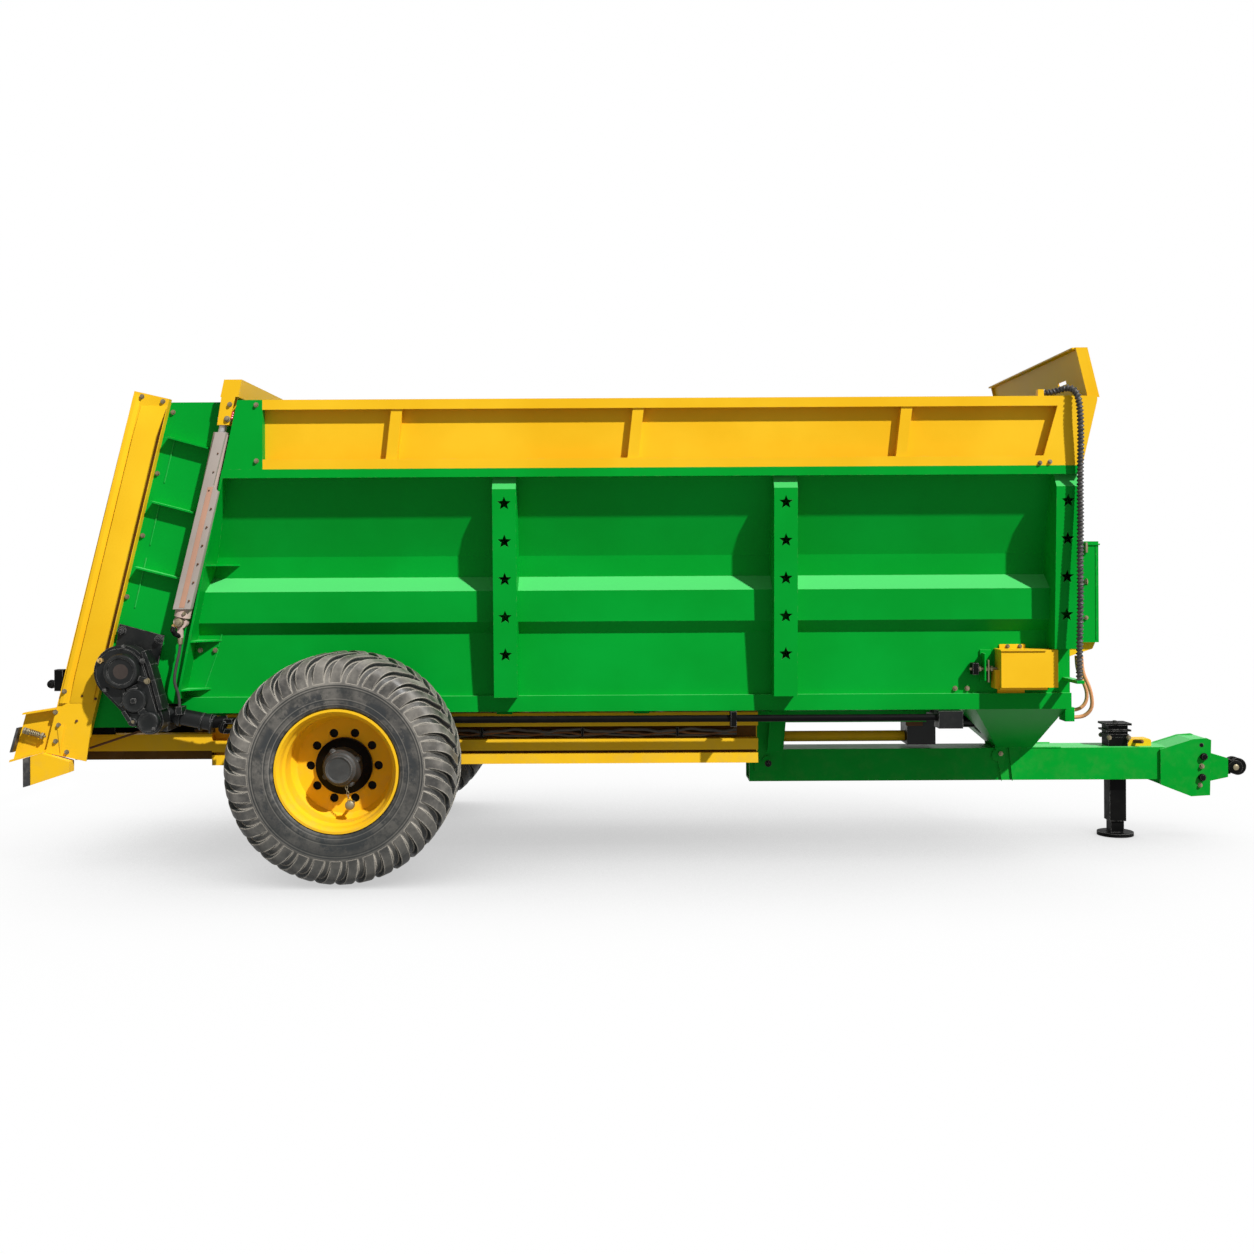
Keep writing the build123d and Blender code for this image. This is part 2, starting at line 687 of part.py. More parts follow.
HEAD_SHEET = 15.0
HEAD_REAR = DRAWBAR_FRONT - 85.0
HEAD_FRONT = HEAD_REAR + 285.0
NOSE_OUT = 60.0
NOSE_FRONT = TOW_X - 64.0
with BuildPart() as hitch_head:
    side_plate(
        DRAWBAR_OUT,
        HEAD_SHEET,
        [
            (HEAD_REAR, DRAWBAR_TOP - 11.0),
            (HEAD_REAR + 182.0, DRAWBAR_TOP + 45.0),
            (HEAD_REAR + 260.0, DRAWBAR_TOP + 51.0),
            (HEAD_FRONT, DRAWBAR_TOP + 40.0),
            (HEAD_FRONT - 8.0, DRAWBAR_BASE - 89.0),
            (HEAD_REAR + 171.0, DRAWBAR_BASE - 95.0),
            (HEAD_REAR, DRAWBAR_BASE - 28.0),
        ],
    )
    mirror(about=Plane.XZ)
    cross_plate(
        DRAWBAR_OUT,
        [
            (HEAD_FRONT - 25.0, DRAWBAR_TOP + 44.0),
            (HEAD_FRONT - 10.0, DRAWBAR_TOP + 44.0),
            (HEAD_FRONT - 10.0, DRAWBAR_BASE - 89.0),
            (HEAD_FRONT - 25.0, DRAWBAR_BASE - 89.0),
        ],
    )
    cross_plate(
        DRAWBAR_OUT,
        [
            (HEAD_REAR + 45.0, DRAWBAR_TOP),
            (HEAD_REAR + 182.0, DRAWBAR_TOP + 42.0),
            (HEAD_FRONT - 25.0, DRAWBAR_TOP + 44.0),
            (HEAD_FRONT - 25.0, DRAWBAR_TOP + 34.0),
            (HEAD_REAR + 184.0, DRAWBAR_TOP + 32.0),
            (HEAD_REAR + 90.0, DRAWBAR_TOP),
        ],
    )
    cross_plate(
        NOSE_OUT,
        [
            (HEAD_FRONT - 10.0, TOW_Z + 88.0),
            (NOSE_FRONT, TOW_Z + 50.0),
            (NOSE_FRONT, TOW_Z - 56.0),
            (HEAD_FRONT - 10.0, TOW_Z - 83.0),
        ],
    )
save(hitch_head, "hitch_head")

TOW_CHEEK = 20.0
TOW_OUT = 40.0
with BuildPart() as tow_fork:
    block((NOSE_FRONT, NOSE_FRONT + 22.0), (-TOW_OUT, TOW_OUT), (TOW_Z - 42.0, TOW_Z + 42.0))
    block((NOSE_FRONT, TOW_X), (-TOW_OUT, TOW_OUT), (TOW_Z - 36.0, TOW_Z + 36.0))
    rod((TOW_X, -TOW_OUT, TOW_Z), (TOW_X, TOW_OUT, TOW_Z), TOW_RADIUS)
    block(
        (NOSE_FRONT + 22.0, TOW_X + TOW_RADIUS),
        (-TOW_OUT + TOW_CHEEK, TOW_OUT - TOW_CHEEK),
        (TOW_Z - 60.0, TOW_Z + 60.0),
        Mode.SUBTRACT,
    )
    rod((TOW_X, -TOW_OUT, TOW_Z), (TOW_X, TOW_OUT, TOW_Z), TOW_BORE, Mode.SUBTRACT)
save(tow_fork, "tow_fork")

# ---------------------------------------------------------------- parking jack
JACK_SLEEVE_BASE = DRAWBAR_BASE - 5.0
# Steps of the gear head: half width, lower height, upper height
HEAD_STEPS = (
    (62.0, 560.0, 577.0),
    (50.0, 577.0, 594.0),
    (71.0, 594.0, 604.0),
    (55.0, 604.0, 628.0),
    (73.0, 628.0, JACK_TOP),
)
LEG_TOP = JACK_SLEEVE_BASE + 60.0
FOOT_RADIUS = 100.0
FOOT_HEIGHT = 20.0
with BuildPart() as jack_tube:
    block(
        (JACK_X - SLEEVE / 2, JACK_X + SLEEVE / 2),
        (-SLEEVE / 2, SLEEVE / 2),
        (JACK_SLEEVE_BASE, JACK_TOP),
    )
    for half, low, high in HEAD_STEPS:
        block((JACK_X - half, JACK_X + half), (-half + 6.0, half - 6.0), (low, high))
    cavity = JACK_LEG / 2 + JACK_FIT
    block(
        (JACK_X - cavity, JACK_X + cavity),
        (-cavity, cavity),
        (JACK_SLEEVE_BASE, JACK_TOP - 8.0),
        Mode.SUBTRACT,
    )
save(jack_tube, "jack_tube")

with BuildPart() as jack_leg:
    block(
        (JACK_X - JACK_LEG / 2, JACK_X + JACK_LEG / 2),
        (-JACK_LEG / 2, JACK_LEG / 2),
        (85.0, LEG_TOP),
    )
    block((JACK_X - 37.0, JACK_X + 37.0), (-37.0, 37.0), (FOOT_HEIGHT, 85.0))
    rod((JACK_X, 0, 0), (JACK_X, 0, FOOT_HEIGHT), FOOT_RADIUS)
save(jack_leg, "jack_leg")

with BuildPart() as jack_lever:
    cross_plate(
        45.0,
        [
            (JACK_X + 58.0, DRAWBAR_TOP),
            (JACK_X + 58.0, DRAWBAR_TOP + 14.0),
            (JACK_X + 72.0, DRAWBAR_TOP + 40.0),
            (JACK_X + 180.0, DRAWBAR_TOP + 40.0),
            (JACK_X + 190.0, DRAWBAR_TOP + 32.0),
            (JACK_X + 190.0, DRAWBAR_TOP),
        ],
    )
    block(
        (JACK_X + 66.0, JACK_X + 190.0), (-37.0, 37.0), (DRAWBAR_TOP, DRAWBAR_TOP + 32.0), Mode.SUBTRACT
    )
save(jack_lever, "jack_lever")

# ---------------------------------------------------------------- top boards and front visor
WEB_OUT = BOARD_OUT - BOARD_DEPTH
LIP = 8.0
LIP_HEIGHT = 50.0
VISOR_FOOT = BODY_FRONT + 79.0
CLOSER_FRONT = rear_x(RAIL_TOP) + 206.0
with BuildPart() as top_boards:
    board_front = [(BODY_FRONT, RAIL_TOP), (VISOR_FOOT, BOARD_TOP)]
    board_rear = [(rear_x(BOARD_TOP) + 2.0, BOARD_TOP), (rear_x(RAIL_TOP) + 2.0, RAIL_TOP)]
    side_plate(WEB_OUT, LIP, board_front + board_rear)
    for low, high in ((RAIL_TOP, RAIL_TOP + LIP), (BOARD_TOP - LIP, BOARD_TOP)):
        block((CLOSER_FRONT, BODY_FRONT), (-BOARD_OUT, -WEB_OUT), (low, high))
    for low, high in ((RAIL_TOP, RAIL_TOP + LIP_HEIGHT), (BOARD_TOP - LIP_HEIGHT, BOARD_TOP)):
        block((CLOSER_FRONT, BODY_FRONT), (-BOARD_OUT, -BOARD_OUT + LIP), (low, high))
    for rib_x in (-1335.0, -109.0, 1253.0):
        side_plate(
            WEB_OUT,
            BOARD_DEPTH - LIP,
            [
                (rib_x - 28.0, BOARD_TOP - LIP),
                (rib_x + 28.0, BOARD_TOP - LIP),
                (rib_x - 10.0, RAIL_TOP + LIP),
                (rib_x - 66.0, RAIL_TOP + LIP),
            ],
        )
    side_plate(
        BOARD_OUT - LIP,
        LIP,
        [
            (BODY_FRONT - 200.0, RAIL_TOP),
            (BODY_FRONT - 100.0, BOARD_TOP),
            (VISOR_FOOT + 8.0, BOARD_TOP),
            (VISOR_FOOT + 8.0, BOARD_TOP - 25.0),
            (BODY_FRONT + 10.0, RAIL_TOP),
        ],
    )
    mirror(about=Plane.XZ)
save(top_boards, "top_boards")

CLOSER_SHEET = 5.0
with BuildPart() as closing_plates:
    closer = [
        (rear_x(RAIL_TOP) + 2.0, RAIL_TOP),
        (rear_x(BOARD_TOP) + 2.0, BOARD_TOP),
        (CLOSER_FRONT, BOARD_TOP),
        (CLOSER_FRONT, RAIL_TOP),
    ]
    side_plate(WEB_OUT + LIP, BOARD_DEPTH - LIP, closer)
    side_plate(
        WEB_OUT + LIP,
        BOARD_DEPTH - LIP - CLOSER_SHEET,
        [
            (rear_x(RAIL_TOP) + 8.0, RAIL_TOP),
            (rear_x(BOARD_TOP) + 8.0, BOARD_TOP),
            (CLOSER_FRONT - CLOSER_SHEET, BOARD_TOP),
            (CLOSER_FRONT - CLOSER_SHEET, RAIL_TOP),
        ],
        Mode.SUBTRACT,
    )
    mirror(about=Plane.XZ)
save(closing_plates, "closing_plates")

VISOR_SHEET = 8.0
VISOR_HEAD = BODY_FRONT + 20.0
SLOT_Z = 2510.0
with BuildPart() as front_visor:
    cross_plate(
        WEB_OUT,
        [
            (BODY_FRONT - VISOR_SHEET, RAIL_TOP),
            (BODY_FRONT, RAIL_TOP),
            (VISOR_FOOT, BOARD_TOP),
            (VISOR_HEAD, VISOR_TOP),
            (VISOR_HEAD - VISOR_SHEET, VISOR_TOP),
            (VISOR_FOOT - VISOR_SHEET, BOARD_TOP),
        ],
    )
    cross_plate(
        WEB_OUT - VISOR_SHEET,
        [
            (VISOR_HEAD - 38.0, VISOR_TOP - VISOR_SHEET),
            (VISOR_HEAD - 38.0, VISOR_TOP),
            (VISOR_HEAD, VISOR_TOP),
            (VISOR_HEAD, VISOR_TOP - VISOR_SHEET),
        ],
    )
    side_plate(
        WEB_OUT - VISOR_SHEET,
        VISOR_SHEET,
        [
            (VISOR_FOOT - 20.0, BOARD_TOP),
            (VISOR_FOOT + 41.0, BOARD_TOP),
            (VISOR_HEAD + 39.0, VISOR_TOP),
            (VISOR_HEAD - 22.0, VISOR_TOP),
        ],
    )
    mirror(about=Plane.XZ)
    for slot_y in (-440.0, -80.0, 280.0):
        block(
            (VISOR_HEAD - 30.0, VISOR_FOOT + 10.0),
            (slot_y - 65.0, slot_y + 65.0),
            (SLOT_Z - 10.0, SLOT_Z + 10.0),
            Mode.SUBTRACT,
        )
save(front_visor, "front_visor")

# ---------------------------------------------------------------- rear chamber
BEATERS = {
    "lower": (BEATER_X, BEATER_Z),
    "upper": (
        BEATER_X + BEATER_SPACING * sin(radians(REAR_LEAN)),
        BEATER_Z + BEATER_SPACING * cos(radians(REAR_LEAN)),
    ),
}
CYLINDER_BEHIND = 50.0
EYE_Z = 1271.0
CLEVIS_Z = 2300.0
EYE_RADIUS = 34.0
PIN_RADIUS = 15.0
EYE = (rear_x(EYE_Z, CYLINDER_BEHIND), EYE_Z)
CLEVIS = (rear_x(CLEVIS_Z, CYLINDER_BEHIND), CLEVIS_Z)
RIB_OUT = CHAMBER_OUT + 55.0
BEARING_RADIUS = 60.0
BEARING_DEPTH = 10.0
BEARING_SKIN = 2.0
BORE_DEPTH = 40.0
PANEL_BASE = 730.0
with BuildPart() as rear_panels:
    side_plate(
        CHAMBER_OUT - CHAMBER_SHEET,
        CHAMBER_SHEET,
        [
            (rear_x(850.0), 850.0),
            (rear_x(CHAMBER_TOP), CHAMBER_TOP),
            (frame_front(CHAMBER_TOP), CHAMBER_TOP),
            (frame_front(PANEL_BASE), PANEL_BASE),
            (BEATER_X + 42.0, PANEL_BASE),
            (BEATER_X + 82.0, 850.0),
        ],
    )
    for rib_z in (1555.0, 1890.0, 2220.0):
        drop = 60.0
        side_plate(
            CHAMBER_OUT,
            RIB_OUT - CHAMBER_OUT,
            [
                (frame_front(rib_z) + 30.0, rib_z),
                (rear_x(rib_z - drop, 105.0), rib_z - drop),
                (rear_x(rib_z - drop - 8.0, 105.0), rib_z - drop - 8.0),
                (frame_front(rib_z) + 28.0, rib_z - 8.0),
            ],
        )
    rod((EYE[0], -CHAMBER_OUT, EYE[1]), (EYE[0], -CYLINDER_OUT - 45.0, EYE[1]), PIN_RADIUS)
    mirror(about=Plane.XZ)
    for beater_x, beater_z in BEATERS.values():
        for sign in (-1, 1):
            rod(
                (beater_x, sign * (CHAMBER_OUT - CHAMBER_SHEET - BEARING_DEPTH), beater_z),
                (beater_x, sign * (CHAMBER_OUT - 1.0), beater_z),
                BEARING_RADIUS,
            )
            rod(
                (beater_x, sign * (CHAMBER_OUT - BORE_DEPTH), beater_z),
                (beater_x, sign * (CHAMBER_OUT - BEARING_SKIN), beater_z),
                BEATER_STUB + RUN_FIT,
                Mode.SUBTRACT,
            )
save(rear_panels, "rear_panels")


def along_frame(points):
    """Corners given as (distance behind the frame's front edge, height)."""
    return [(frame_front(z) - behind, z) for behind, z in points]


FRAME_OUTLINE = along_frame([(0, FRAME_TOP), (189, FRAME_TOP + 42), (200, 608), (-18, 562), (0, 745)])
with BuildPart() as rear_frame:
    side_plate(FRAME_OUT - FRAME_SHEET, FRAME_SHEET, FRAME_OUTLINE)
    side_plate(
        CHAMBER_OUT,
        FRAME_OUT - FRAME_SHEET - CHAMBER_OUT,
        along_frame([(0, FRAME_TOP), (8, FRAME_TOP), (8, 681), (0, 681)]),
    )
    side_plate(
        CHAMBER_OUT - 30.0,
        FRAME_OUT - FRAME_SHEET - CHAMBER_OUT + 30.0,
        along_frame([(181, FRAME_TOP + 40), (189, FRAME_TOP + 42), (199, 612), (191, 610)]),
    )
    mirror(about=Plane.XZ)
    cross_plate(
        FRAME_OUT - FRAME_SHEET,
        along_frame([(40, 2300), (160, 2330), (160, 2390), (40, 2360)]),
    )
    cross_plate(
        FRAME_OUT - FRAME_SHEET,
        along_frame([(50, 712), (150, 712), (150, 782), (50, 782)]),
    )
save(rear_frame, "rear_frame")

# Channel behind the frame's foot, and the box of the rear lamp below it
FOOT_DEPTH = 54.0
FOOT_SHEET = 8.0
foot_web = along_frame([(198.7, 838), (362, 812), (371, 560), (200, 612)])
foot_top = along_frame([(198.7, 838), (362, 812), (362, 802), (198.7, 828)])
foot_lip = along_frame([(200, 624), (371, 572), (371, 560), (200, 612)])
LAMP_BOX = [
    (-728.0, 593.0),
    (-666.0, 611.0),
    (-665.0, 607.0),
    (-531.0, 566.0),
    (-531.0, 511.0),
    (-728.0, 447.0),
]
LAMP_END = [(-764.0, 582.0), (-728.0, 593.0), (-728.0, 447.0), (-764.0, 437.0)]
LAMP_OUT = 780.0
with BuildPart() as rear_deflector:
    side_plate(FRAME_OUT + FOOT_SHEET - FOOT_DEPTH, FOOT_SHEET, foot_web)
    side_plate(FRAME_OUT + FOOT_SHEET - FOOT_DEPTH, FOOT_DEPTH, foot_top)
    side_plate(FRAME_OUT + FOOT_SHEET - FOOT_DEPTH, FOOT_DEPTH, foot_lip)
    side_plate(LAMP_OUT, 65.0, [(BODY_REAR + x, z) for x, z in LAMP_BOX])
    mirror(about=Plane.XZ)
save(rear_deflector, "rear_deflector")

# ---------------------------------------------------------------- rear door and its cylinders
DOOR_OUT = CHAMBER_OUT - CHAMBER_SHEET - DOOR_GAP
DOOR_BASE = FLOOR_TOP + SLAT_HEIGHT + 10.0
BEAM_BASE = CHAMBER_TOP + 16.0
BEAM_TOP = BEAM_BASE + 88.0
CHEEK = 8.0
EYE_OUT = 18.0
with BuildPart() as rear_door:
    cross_plate(DOOR_OUT, strip(DOOR_BASE, BEAM_BASE, DOOR_GAP, DOOR_GAP + DOOR_DEPTH))
save(rear_door, "rear_door")

with BuildPart() as door_beam:
    cross_plate(
        CYLINDER_OUT + EYE_OUT + 4.0 + CHEEK,
        strip(BEAM_BASE, BEAM_TOP, DOOR_GAP - 10.0, DOOR_GAP + DOOR_DEPTH + 40.0),
    )
    for sign in (-1, 1):
        for cheek_out in (CYLINDER_OUT - EYE_OUT - 4.0 - CHEEK, CYLINDER_OUT + EYE_OUT + 4.0):
            near = sign * cheek_out
            far = sign * (cheek_out + CHEEK)
            prism(
                Plane.XZ.offset(-max(near, far)),
                [
                    (CLEVIS[0] - 30.0, CLEVIS[1] - 30.0),
                    (CLEVIS[0] + 30.0, CLEVIS[1] - 30.0),
                    (rear_x(BEAM_BASE, 12.0), BEAM_BASE),
                    (rear_x(BEAM_BASE, 82.0), BEAM_BASE),
                ],
                CHEEK,
            )
        rod(
            (CLEVIS[0], sign * (CYLINDER_OUT - EYE_OUT - 6.0), CLEVIS[1]),
            (CLEVIS[0], sign * (CYLINDER_OUT + EYE_OUT + 6.0), CLEVIS[1]),
            PIN_RADIUS,
        )
save(door_beam, "door_beam")

UP = (sin(radians(REAR_LEAN)), cos(radians(REAR_LEAN)))


def up_from_eye(distance, sign):
    """A point on a cylinder's line, some distance up from its lower eye."""
    return (EYE[0] + distance * UP[0], sign * CYLINDER_OUT, EYE[1] + distance * UP[1])


ROD_LENGTH = (CLEVIS_Z - EYE_Z) / UP[1]
GUARD_SHEET = 5.0
GUARD_OUT = CYLINDER_OUT + CYLINDER_RADIUS + 4.0
GUARD_HALF = 46.0
GUARD_SPAN = (EYE_Z + 67.0, CLEVIS_Z - 68.0)
with BuildPart() as cylinder_guards:
    front_edge, rear_edge = CYLINDER_BEHIND - GUARD_HALF, CYLINDER_BEHIND + GUARD_HALF
    side_plate(GUARD_OUT, GUARD_SHEET, strip(*GUARD_SPAN, front_edge, rear_edge))
    for edge in (front_edge, rear_edge - GUARD_SHEET):
        side_plate(CYLINDER_OUT, GUARD_OUT - CYLINDER_OUT, strip(*GUARD_SPAN, edge, edge + GUARD_SHEET))
    wing = (GUARD_SPAN[0] + 10.0, GUARD_SPAN[1] - 220.0)
    side_plate(GUARD_OUT - 14.0, GUARD_SHEET, strip(*wing, front_edge - 38.0, front_edge))
    mirror(about=Plane.XZ)
save(cylinder_guards, "cylinder_guards")

BARREL_TOP = DOOR_LIFT + 130.0
with BuildPart() as door_cylinders:
    for sign in (-1, 1):
        rod(up_from_eye(EYE_RADIUS - 8.0, sign), up_from_eye(BARREL_TOP, sign), CYLINDER_RADIUS)
        rod(
            up_from_eye(EYE_RADIUS + 12.0, sign),
            up_from_eye(BARREL_TOP - 20.0, sign),
            CYLINDER_BORE,
            Mode.SUBTRACT,
        )
        rod(
            up_from_eye(BARREL_TOP - 30.0, sign),
            up_from_eye(BARREL_TOP + 10.0, sign),
            ROD_RADIUS + RUN_FIT,
            Mode.SUBTRACT,
        )
        rod(
            (EYE[0], sign * (CYLINDER_OUT - EYE_OUT), EYE[1]),
            (EYE[0], sign * (CYLINDER_OUT + EYE_OUT), EYE[1]),
            EYE_RADIUS,
        )
        rod(
            (EYE[0], sign * (CYLINDER_OUT - 60.0), EYE[1]),
            (EYE[0], sign * (CYLINDER_OUT + 60.0), EYE[1]),
            PIN_RADIUS + RUN_FIT,
            Mode.SUBTRACT,
        )
    block(
        (EYE[0] - 12.0, EYE[0] + 12.0),
        (-CYLINDER_OUT - 27.0, -CYLINDER_OUT - 3.0),
        (EYE[1] - 80.0, EYE[1] - 25.0),
    )
save(door_cylinders, "door_cylinders")

with BuildPart() as door_rods:
    for sign in (-1, 1):
        rod(
            up_from_eye(EYE_RADIUS + 26.0, sign),
            up_from_eye(ROD_LENGTH - EYE_RADIUS + 6.0, sign),
            ROD_RADIUS,
        )
        rod(
            (CLEVIS[0], sign * (CYLINDER_OUT - EYE_OUT), CLEVIS[1]),
            (CLEVIS[0], sign * (CYLINDER_OUT + EYE_OUT), CLEVIS[1]),
            EYE_RADIUS - 4.0,
        )
        rod(
            (CLEVIS[0], sign * (CYLINDER_OUT - 60.0), CLEVIS[1]),
            (CLEVIS[0], sign * (CYLINDER_OUT + 60.0), CLEVIS[1]),
            PIN_RADIUS + RUN_FIT,
            Mode.SUBTRACT,
        )
save(door_rods, "door_rods")

# ---------------------------------------------------------------- beaters
BLADE_COUNT = 14
BLADE_TURN = 45.0
BLADE_SHEET = 12.0
BLADE_WIDTH = 110.0
TUBE_OUT = CHAMBER_OUT - CHAMBER_SHEET - BEARING_DEPTH - 7.0
for beater_name, (beater_x, beater_z) in BEATERS.items():
    with BuildPart() as beater:
        rod((beater_x, -TUBE_OUT, beater_z), (beater_x, TUBE_OUT, beater_z), BEATER_TUBE)
        stub = CHAMBER_OUT - BEARING_SKIN - 0.5
        rod((beater_x, -stub, beater_z), (beater_x, stub, beater_z), BEATER_STUB)
        for sign in (-1, 1):
            for number in range(BLADE_COUNT):
                blade_y = sign * (30.0 + number * (TUBE_OUT - 50.0) / (BLADE_COUNT - 1))
                turn = radians(number * BLADE_TURN)
                blade_plane = Plane(
                    origin=(beater_x, blade_y, beater_z),
                    x_dir=(cos(turn), 0, sin(turn)),
                    z_dir=(0, 1, 0),
                )
                with BuildSketch(blade_plane) as blade:
                    with Locations(((BEATER_TIP + BEATER_TUBE) / 2 - 10.0, 0)):
                        Rectangle(BEATER_TIP - BEATER_TUBE, BLADE_WIDTH)
                extrude(blade.sketch, amount=BLADE_SHEET / 2, both=True)
    save(beater, f"beater_{beater_name}")

# ---------------------------------------------------------------- spinning discs and their drive
POT_TOP = DISC_BASE - 10.0
POT_BASE = 506.0
CENTRE_BASE = 475.0
POT_RADIUS = 65.0
DISC_STUB = 25.0
VANE_COUNT = 4
for disc_side, disc_sign in (("right", -1), ("left", 1)):
    centre_y = disc_sign * DISC_OUT
    with BuildPart() as disc:
        rod((DISC_X, centre_y, DISC_BASE), (DISC_X, centre_y, DISC_BASE + DISC_SHEET), DISC_RADIUS)
        rod((DISC_X, centre_y, POT_BASE + 35.0), (DISC_X, centre_y, DISC_BASE + 2.0), DISC_STUB)
        rod((DISC_X, centre_y, DISC_BASE), (DISC_X, centre_y, DISC_BASE + 48.0), 50.0)
        for number in range(VANE_COUNT):
            turn = radians(disc_sign * -35.0 + number * 360.0 / VANE_COUNT)
            prism(
                Plane(
                    origin=(DISC_X, centre_y, DISC_BASE + DISC_SHEET),
                    x_dir=(cos(turn), sin(turn), 0),
                    z_dir=(sin(turn), -cos(turn), 0),
                ),
                [(40.0, 0.0), (40.0, 36.0), (150.0, VANE_HEIGHT), (VANE_TIP, VANE_HEIGHT), (VANE_TIP, 0.0)],
                8.0,
            )
    save(disc, f"spinner_{disc_side}")

with BuildPart() as spinner_beam:
    block((DISC_X - 50.0, DISC_X + 50.0), (-CHASSIS_OUT + 5.0, CHASSIS_OUT - 5.0), (ARM_BASE - ARM_SHOE, ARM_BASE))
    block((DISC_X - 110.0, DISC_X + 100.0), (-90.0, 90.0), (CENTRE_BASE, POT_TOP))
    for sign in (-1, 1):
        rod((DISC_X, sign * DISC_OUT, POT_BASE), (DISC_X, sign * DISC_OUT, POT_TOP), POT_RADIUS)
        rod(
            (DISC_X, sign * DISC_OUT, POT_BASE + 30.0),
            (DISC_X, sign * DISC_OUT, POT_TOP + 5.0),
            DISC_STUB + RUN_FIT,
            Mode.SUBTRACT,
        )
        near, far = sign * (CHASSIS_OUT - 65.0), sign * (CHASSIS_OUT - 5.0)
        block((ARM_REAR, CHASSIS_REAR), (near, far), (ARM_BASE - ARM_SHOE, ARM_BASE))
save(spinner_beam, "spinner_beam")

# ---------------------------------------------------------------- side drive
SHAFT_OUT = 725.0
SHAFT_Z = 755.0
SHAFT_R = 18.0
TUBE_END = CHASSIS_REAR + 48.0
BEVEL = (BODY_FRONT - 700.0, BODY_FRONT - 576.0)
with BuildPart() as side_gearbox:
    side_plate(
        CHAMBER_OUT,
        12.0,
        [
            (BEATER_X - 55.0, 1262.0),
            (BEATER_X + 174.0, 1200.0),
            (BEATER_X + 130.0, 1000.0),
            (BEATER_X + 180.0, 860.0),
            (BEATER_X - 100.0, 960.0),
        ],
    )
    for low, high, inset in ((12.0, 45.0, 34.0), (45.0, 148.0, 0.0), (148.0, 166.0, 16.0)):
        with BuildSketch(Plane.XZ.offset(CHAMBER_OUT + low)) as housing:
            with Locations((BEATER_X, BEATER_Z)):
                Circle(135.0 - inset)
            with Locations((BEATER_X + 145.0, BEATER_Z - 246.0)):
                Circle(68.0 - inset)
            make_hull()
        extrude(housing.sketch, amount=high - low)
    for cap_x, cap_z, radius, depth in (
        (0.0, 0.0, 62.0, 30.0),
        (85.0, -145.0, 50.0, 16.0),
        (145.0, -246.0, 46.0, 12.0),
    ):
        rod(
            (BEATER_X + cap_x, -CHAMBER_OUT - 166.0, BEATER_Z + cap_z),
            (BEATER_X + cap_x, -CHAMBER_OUT - 166.0 - depth, BEATER_Z + cap_z),
            radius,
        )
    block(
        (BEATER_X + 92.0, BEATER_X + 202.0), (-CHAMBER_OUT - 50.0, -CHAMBER_OUT + 110.0), (715.0, 815.0)
    )
    rod((BEATER_X + 182.0, -752.0, 797.0), (TUBE_END + 22.0, -752.0, 745.0), 42.0)
    block((TUBE_END, TUBE_END + 100.0), (-850.0, -650.0), (650.0, 850.0), Mode.SUBTRACT)
    block((TUBE_END - 163.0, TUBE_END - 133.0), (-830.0, -752.0), (800.0, 840.0))
save(side_gearbox, "side_gearbox")

with BuildPart() as drive_shaft:
    rod((TUBE_END - 30.0, -752.0, 748.0), (TUBE_END + 70.0, -SHAFT_OUT, SHAFT_Z), 30.0)
    block((TUBE_END - 100.0, TUBE_END), (-850.0, -650.0), (650.0, 850.0), Mode.SUBTRACT)
    rod((TUBE_END + 60.0, -SHAFT_OUT, SHAFT_Z), (BEVEL[0], -SHAFT_OUT, SHAFT_Z), SHAFT_R)
save(drive_shaft, "drive_shaft")

with BuildPart() as shaft_bearing:
    block((355.0, 385.0), (-SHAFT_OUT - 34.0, -SHAFT_OUT + 60.0), (SHAFT_Z - 40.0, BODY_BASE))
    rod((350.0, -SHAFT_OUT, SHAFT_Z), (390.0, -SHAFT_OUT, SHAFT_Z), SHAFT_R + RUN_FIT, Mode.SUBTRACT)
save(shaft_bearing, "shaft_bearing")

GEARBOX_REAR = BODY_FRONT - 724.0
PTO_RADIUS = 17.4
PTO_LENGTH = 80.0
with BuildPart() as front_gearbox:
    block((GEARBOX_REAR, GEARBOX_REAR + 160.0), (-90.0, 90.0), (DRAWBAR_TOP + 20.0, BODY_BASE))
    block(BEVEL, (-SHAFT_OUT - 35.0, -SHAFT_OUT + 75.0), (SHAFT_Z - 55.0, SHAFT_Z + 35.0))
    cross_x = sum(BEVEL) / 2
    rod((cross_x, -SHAFT_OUT + 70.0, 740.0), (cross_x, -80.0, 740.0), 35.0)
    rod((GEARBOX_REAR + 150.0, 0, PTO_Z), (BODY_FRONT - 24.0, 0, PTO_Z), 34.0)
    rod((BODY_FRONT - 24.0, 0, PTO_Z), (BODY_FRONT - 24.0 + PTO_LENGTH, 0, PTO_Z), PTO_RADIUS)
save(front_gearbox, "front_gearbox")

GUARD_RADIUS = 30.0
GUARD_Z = DRAWBAR_TOP + 60.0
